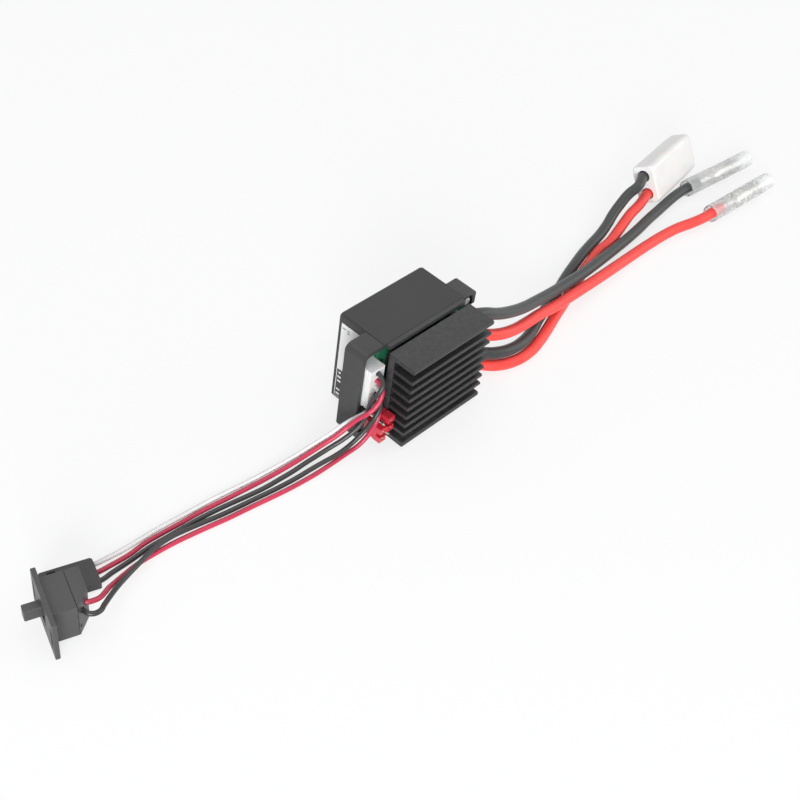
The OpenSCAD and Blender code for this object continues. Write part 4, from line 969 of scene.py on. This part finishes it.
def battery_cutter(way, start, end, radius, square):
    """A round or square bar along X that cuts one opening of the battery plug."""
    sides, turn = (4, 45) if square else (32, 0)
    square_share = 0.92
    reach = radius * math.sqrt(2) * square_share if square else radius
    cutter = bmesh.new()
    bmesh.ops.create_cone(cutter, cap_ends=True, segments=sides, radius1=reach, radius2=reach,
                          depth=end - start)
    lie = Matrix.Rotation(math.radians(turn), 4, "X") @ Matrix.Rotation(math.radians(90), 4, "Y")
    spot = Matrix.Translation(((start + end) / 2, way, 0))
    bmesh.ops.transform(cutter, verts=cutter.verts, matrix=spot @ lie)
    return link("cutter", as_mesh(cutter, "cutter"))


class ESC_OT_battery_plug(Maker, bpy.types.Operator):
    """White two-way battery plug"""
    bl_idname = "esc.battery_plug"
    bl_label = "Battery plug"

    def execute(self, context):
        spot, roll, turn = BATTERY
        pose = Matrix.Translation(spot) @ Matrix.Rotation(math.radians(turn), 4, "Z")
        pose = pose @ Matrix.Rotation(math.radians(roll), 4, "X")
        piece = link("work", battery_body())
        cutters = []
        for way, square in ((-BATTERY_WAY, False), (BATTERY_WAY, True)):
            cutters.append(battery_cutter(way, *WIRE_HOLE, False))
            cutters.append(battery_cutter(way, *MOUTH, square))
        for cutter in cutters:
            cut = piece.modifiers.new("cut", "BOOLEAN")
            cut.operation = "DIFFERENCE"
            cut.solver = "EXACT"
            cut.object = cutter
        shaped = bmesh.new()
        shaped.from_mesh(baked(piece, "battery_body"))
        for cutter in cutters:
            bpy.data.objects.remove(cutter, do_unlink=True)
        plug = turned(softened(shaped, "battery_plug_piece", 0.00015), pose)
        place("battery_plug_piece", plug, "battery_white", stands_for=("battery_plug",))
        dress("battery_plug_contacts", "gold_plate")
        for colour in ("black", "red"):
            declare(["battery_plug_piece", "battery_plug_contacts"])
        return {"FINISHED"}


def seen_directly(tree):
    """One for a camera ray, or for one that reached here by a reflection or through something clear."""
    path = tree.nodes.new("ShaderNodeLightPath")
    share = maths(tree, "MAXIMUM", path.outputs["Is Camera Ray"], path.outputs["Is Transmission Ray"])
    return maths(tree, "MAXIMUM", share, path.outputs["Is Glossy Ray"])


def blend(tree, factor, first, second, target):
    """Mixes two shaders by a factor and gives the mix to a target input."""
    mix = tree.nodes.new("ShaderNodeMixShader")
    for source, socket in zip((factor, first.outputs[0], second.outputs[0]), mix.inputs):
        tree.links.new(source, socket)
    tree.links.new(mix.outputs[0], target)


class ESC_OT_stage(Maker, bpy.types.Operator):
    """Pale floor, soft lamps and a plain world"""
    bl_idname = "esc.stage"
    bl_label = "Stage"

    def execute(self, context):
        scene = context.scene
        scene.view_settings.view_transform = "Standard"
        sheet = bmesh.new()
        bmesh.ops.create_grid(sheet, x_segments=1, y_segments=1, size=6)
        bmesh.ops.translate(sheet, vec=(0, 0, FLOOR_Z), verts=sheet.verts)
        mesh = as_mesh(sheet, "floor")
        floor = link("floor", mesh)
        paper = bpy.data.materials.new("floor_paper")
        paper.use_nodes = True
        tree = paper.node_tree
        shader = fill(tree.nodes["Principled BSDF"], {"Base Color": (0.9, 0.9, 0.9, 1), "Roughness": 0.9,
                                                      "Specular IOR Level": 0.1})
        glow = fill(tree.nodes.new("ShaderNodeEmission"), {"Color": WHITE})
        lit = maths(tree, "MULTIPLY", seen_directly(tree), FLOOR_GLOW)
        blend(tree, lit, shader, glow, tree.nodes["Material Output"].inputs["Surface"])
        mesh.materials.append(paper)
        world = bpy.data.worlds.new("world")
        scene.world = world
        world.use_nodes = True
        tree = world.node_tree
        soft = fill(tree.nodes["Background"], {"Color": (0.95, 0.97, 1, 1), "Strength": 0.38})
        white = fill(tree.nodes.new("ShaderNodeBackground"), {"Color": WHITE, "Strength": 1})
        blend(tree, seen_directly(tree), soft, white, tree.nodes["World Output"].inputs["Surface"])
        for name, spot, size, power in LAMPS:
            lamp = bpy.data.lights.new(name, "AREA")
            lamp.size = size
            lamp.energy = power
            light = link(name, lamp)
            light.location = spot
            light.rotation_mode = "QUATERNION"
            light.rotation_quaternion = (-Vector(spot)).to_track_quat("-Z", "Y")
        return {"FINISHED"}


class ESC_PT_panel(bpy.types.Panel):
    """Lists the steps that build the controller"""
    bl_idname = "ESC_PT_panel"
    bl_label = "Speed controller"
    bl_space_type = "VIEW_3D"
    bl_region_type = "UI"
    bl_category = "Speed controller"

    def draw(self, context):
        column = self.layout.column()
        for step in STEPS:
            column.operator(step.bl_idname)
        for group_name in ("esc_sizes", "esc_colours"):
            values = getattr(context.scene, group_name)
            for label in values.__annotations__:
                column.prop(values, label)


STEPS = (ESC_OT_camera, ESC_OT_materials, ESC_OT_cords, ESC_OT_case, ESC_OT_heat_sink, ESC_OT_board,
         ESC_OT_signal, ESC_OT_jumpers, ESC_OT_switch, ESC_OT_receiver_plug, ESC_OT_motor_ends,
         ESC_OT_battery_plug, ESC_OT_stage)
CLASSES = (ESC_Sizes, ESC_Colours, *STEPS, ESC_PT_panel)


def register():
    for cls in CLASSES:
        bpy.utils.register_class(cls)
    bpy.types.Scene.esc_sizes = bpy.props.PointerProperty(type=ESC_Sizes)
    bpy.types.Scene.esc_colours = bpy.props.PointerProperty(type=ESC_Colours)


def unregister():
    del bpy.types.Scene.esc_colours
    del bpy.types.Scene.esc_sizes
    for cls in reversed(CLASSES):
        bpy.utils.unregister_class(cls)


def main():
    register()
    bpy.ops.esc.camera()
    bpy.ops.esc.materials()
    bpy.ops.esc.cords()
    bpy.ops.esc.case()
    bpy.ops.esc.heat_sink()
    bpy.ops.esc.board()
    bpy.ops.esc.signal()
    bpy.ops.esc.jumpers()
    bpy.ops.esc.switch()
    bpy.ops.esc.receiver_plug()
    bpy.ops.esc.motor_ends()
    bpy.ops.esc.battery_plug()
    bpy.ops.esc.stage()


if __name__ == "__main__":
    main()
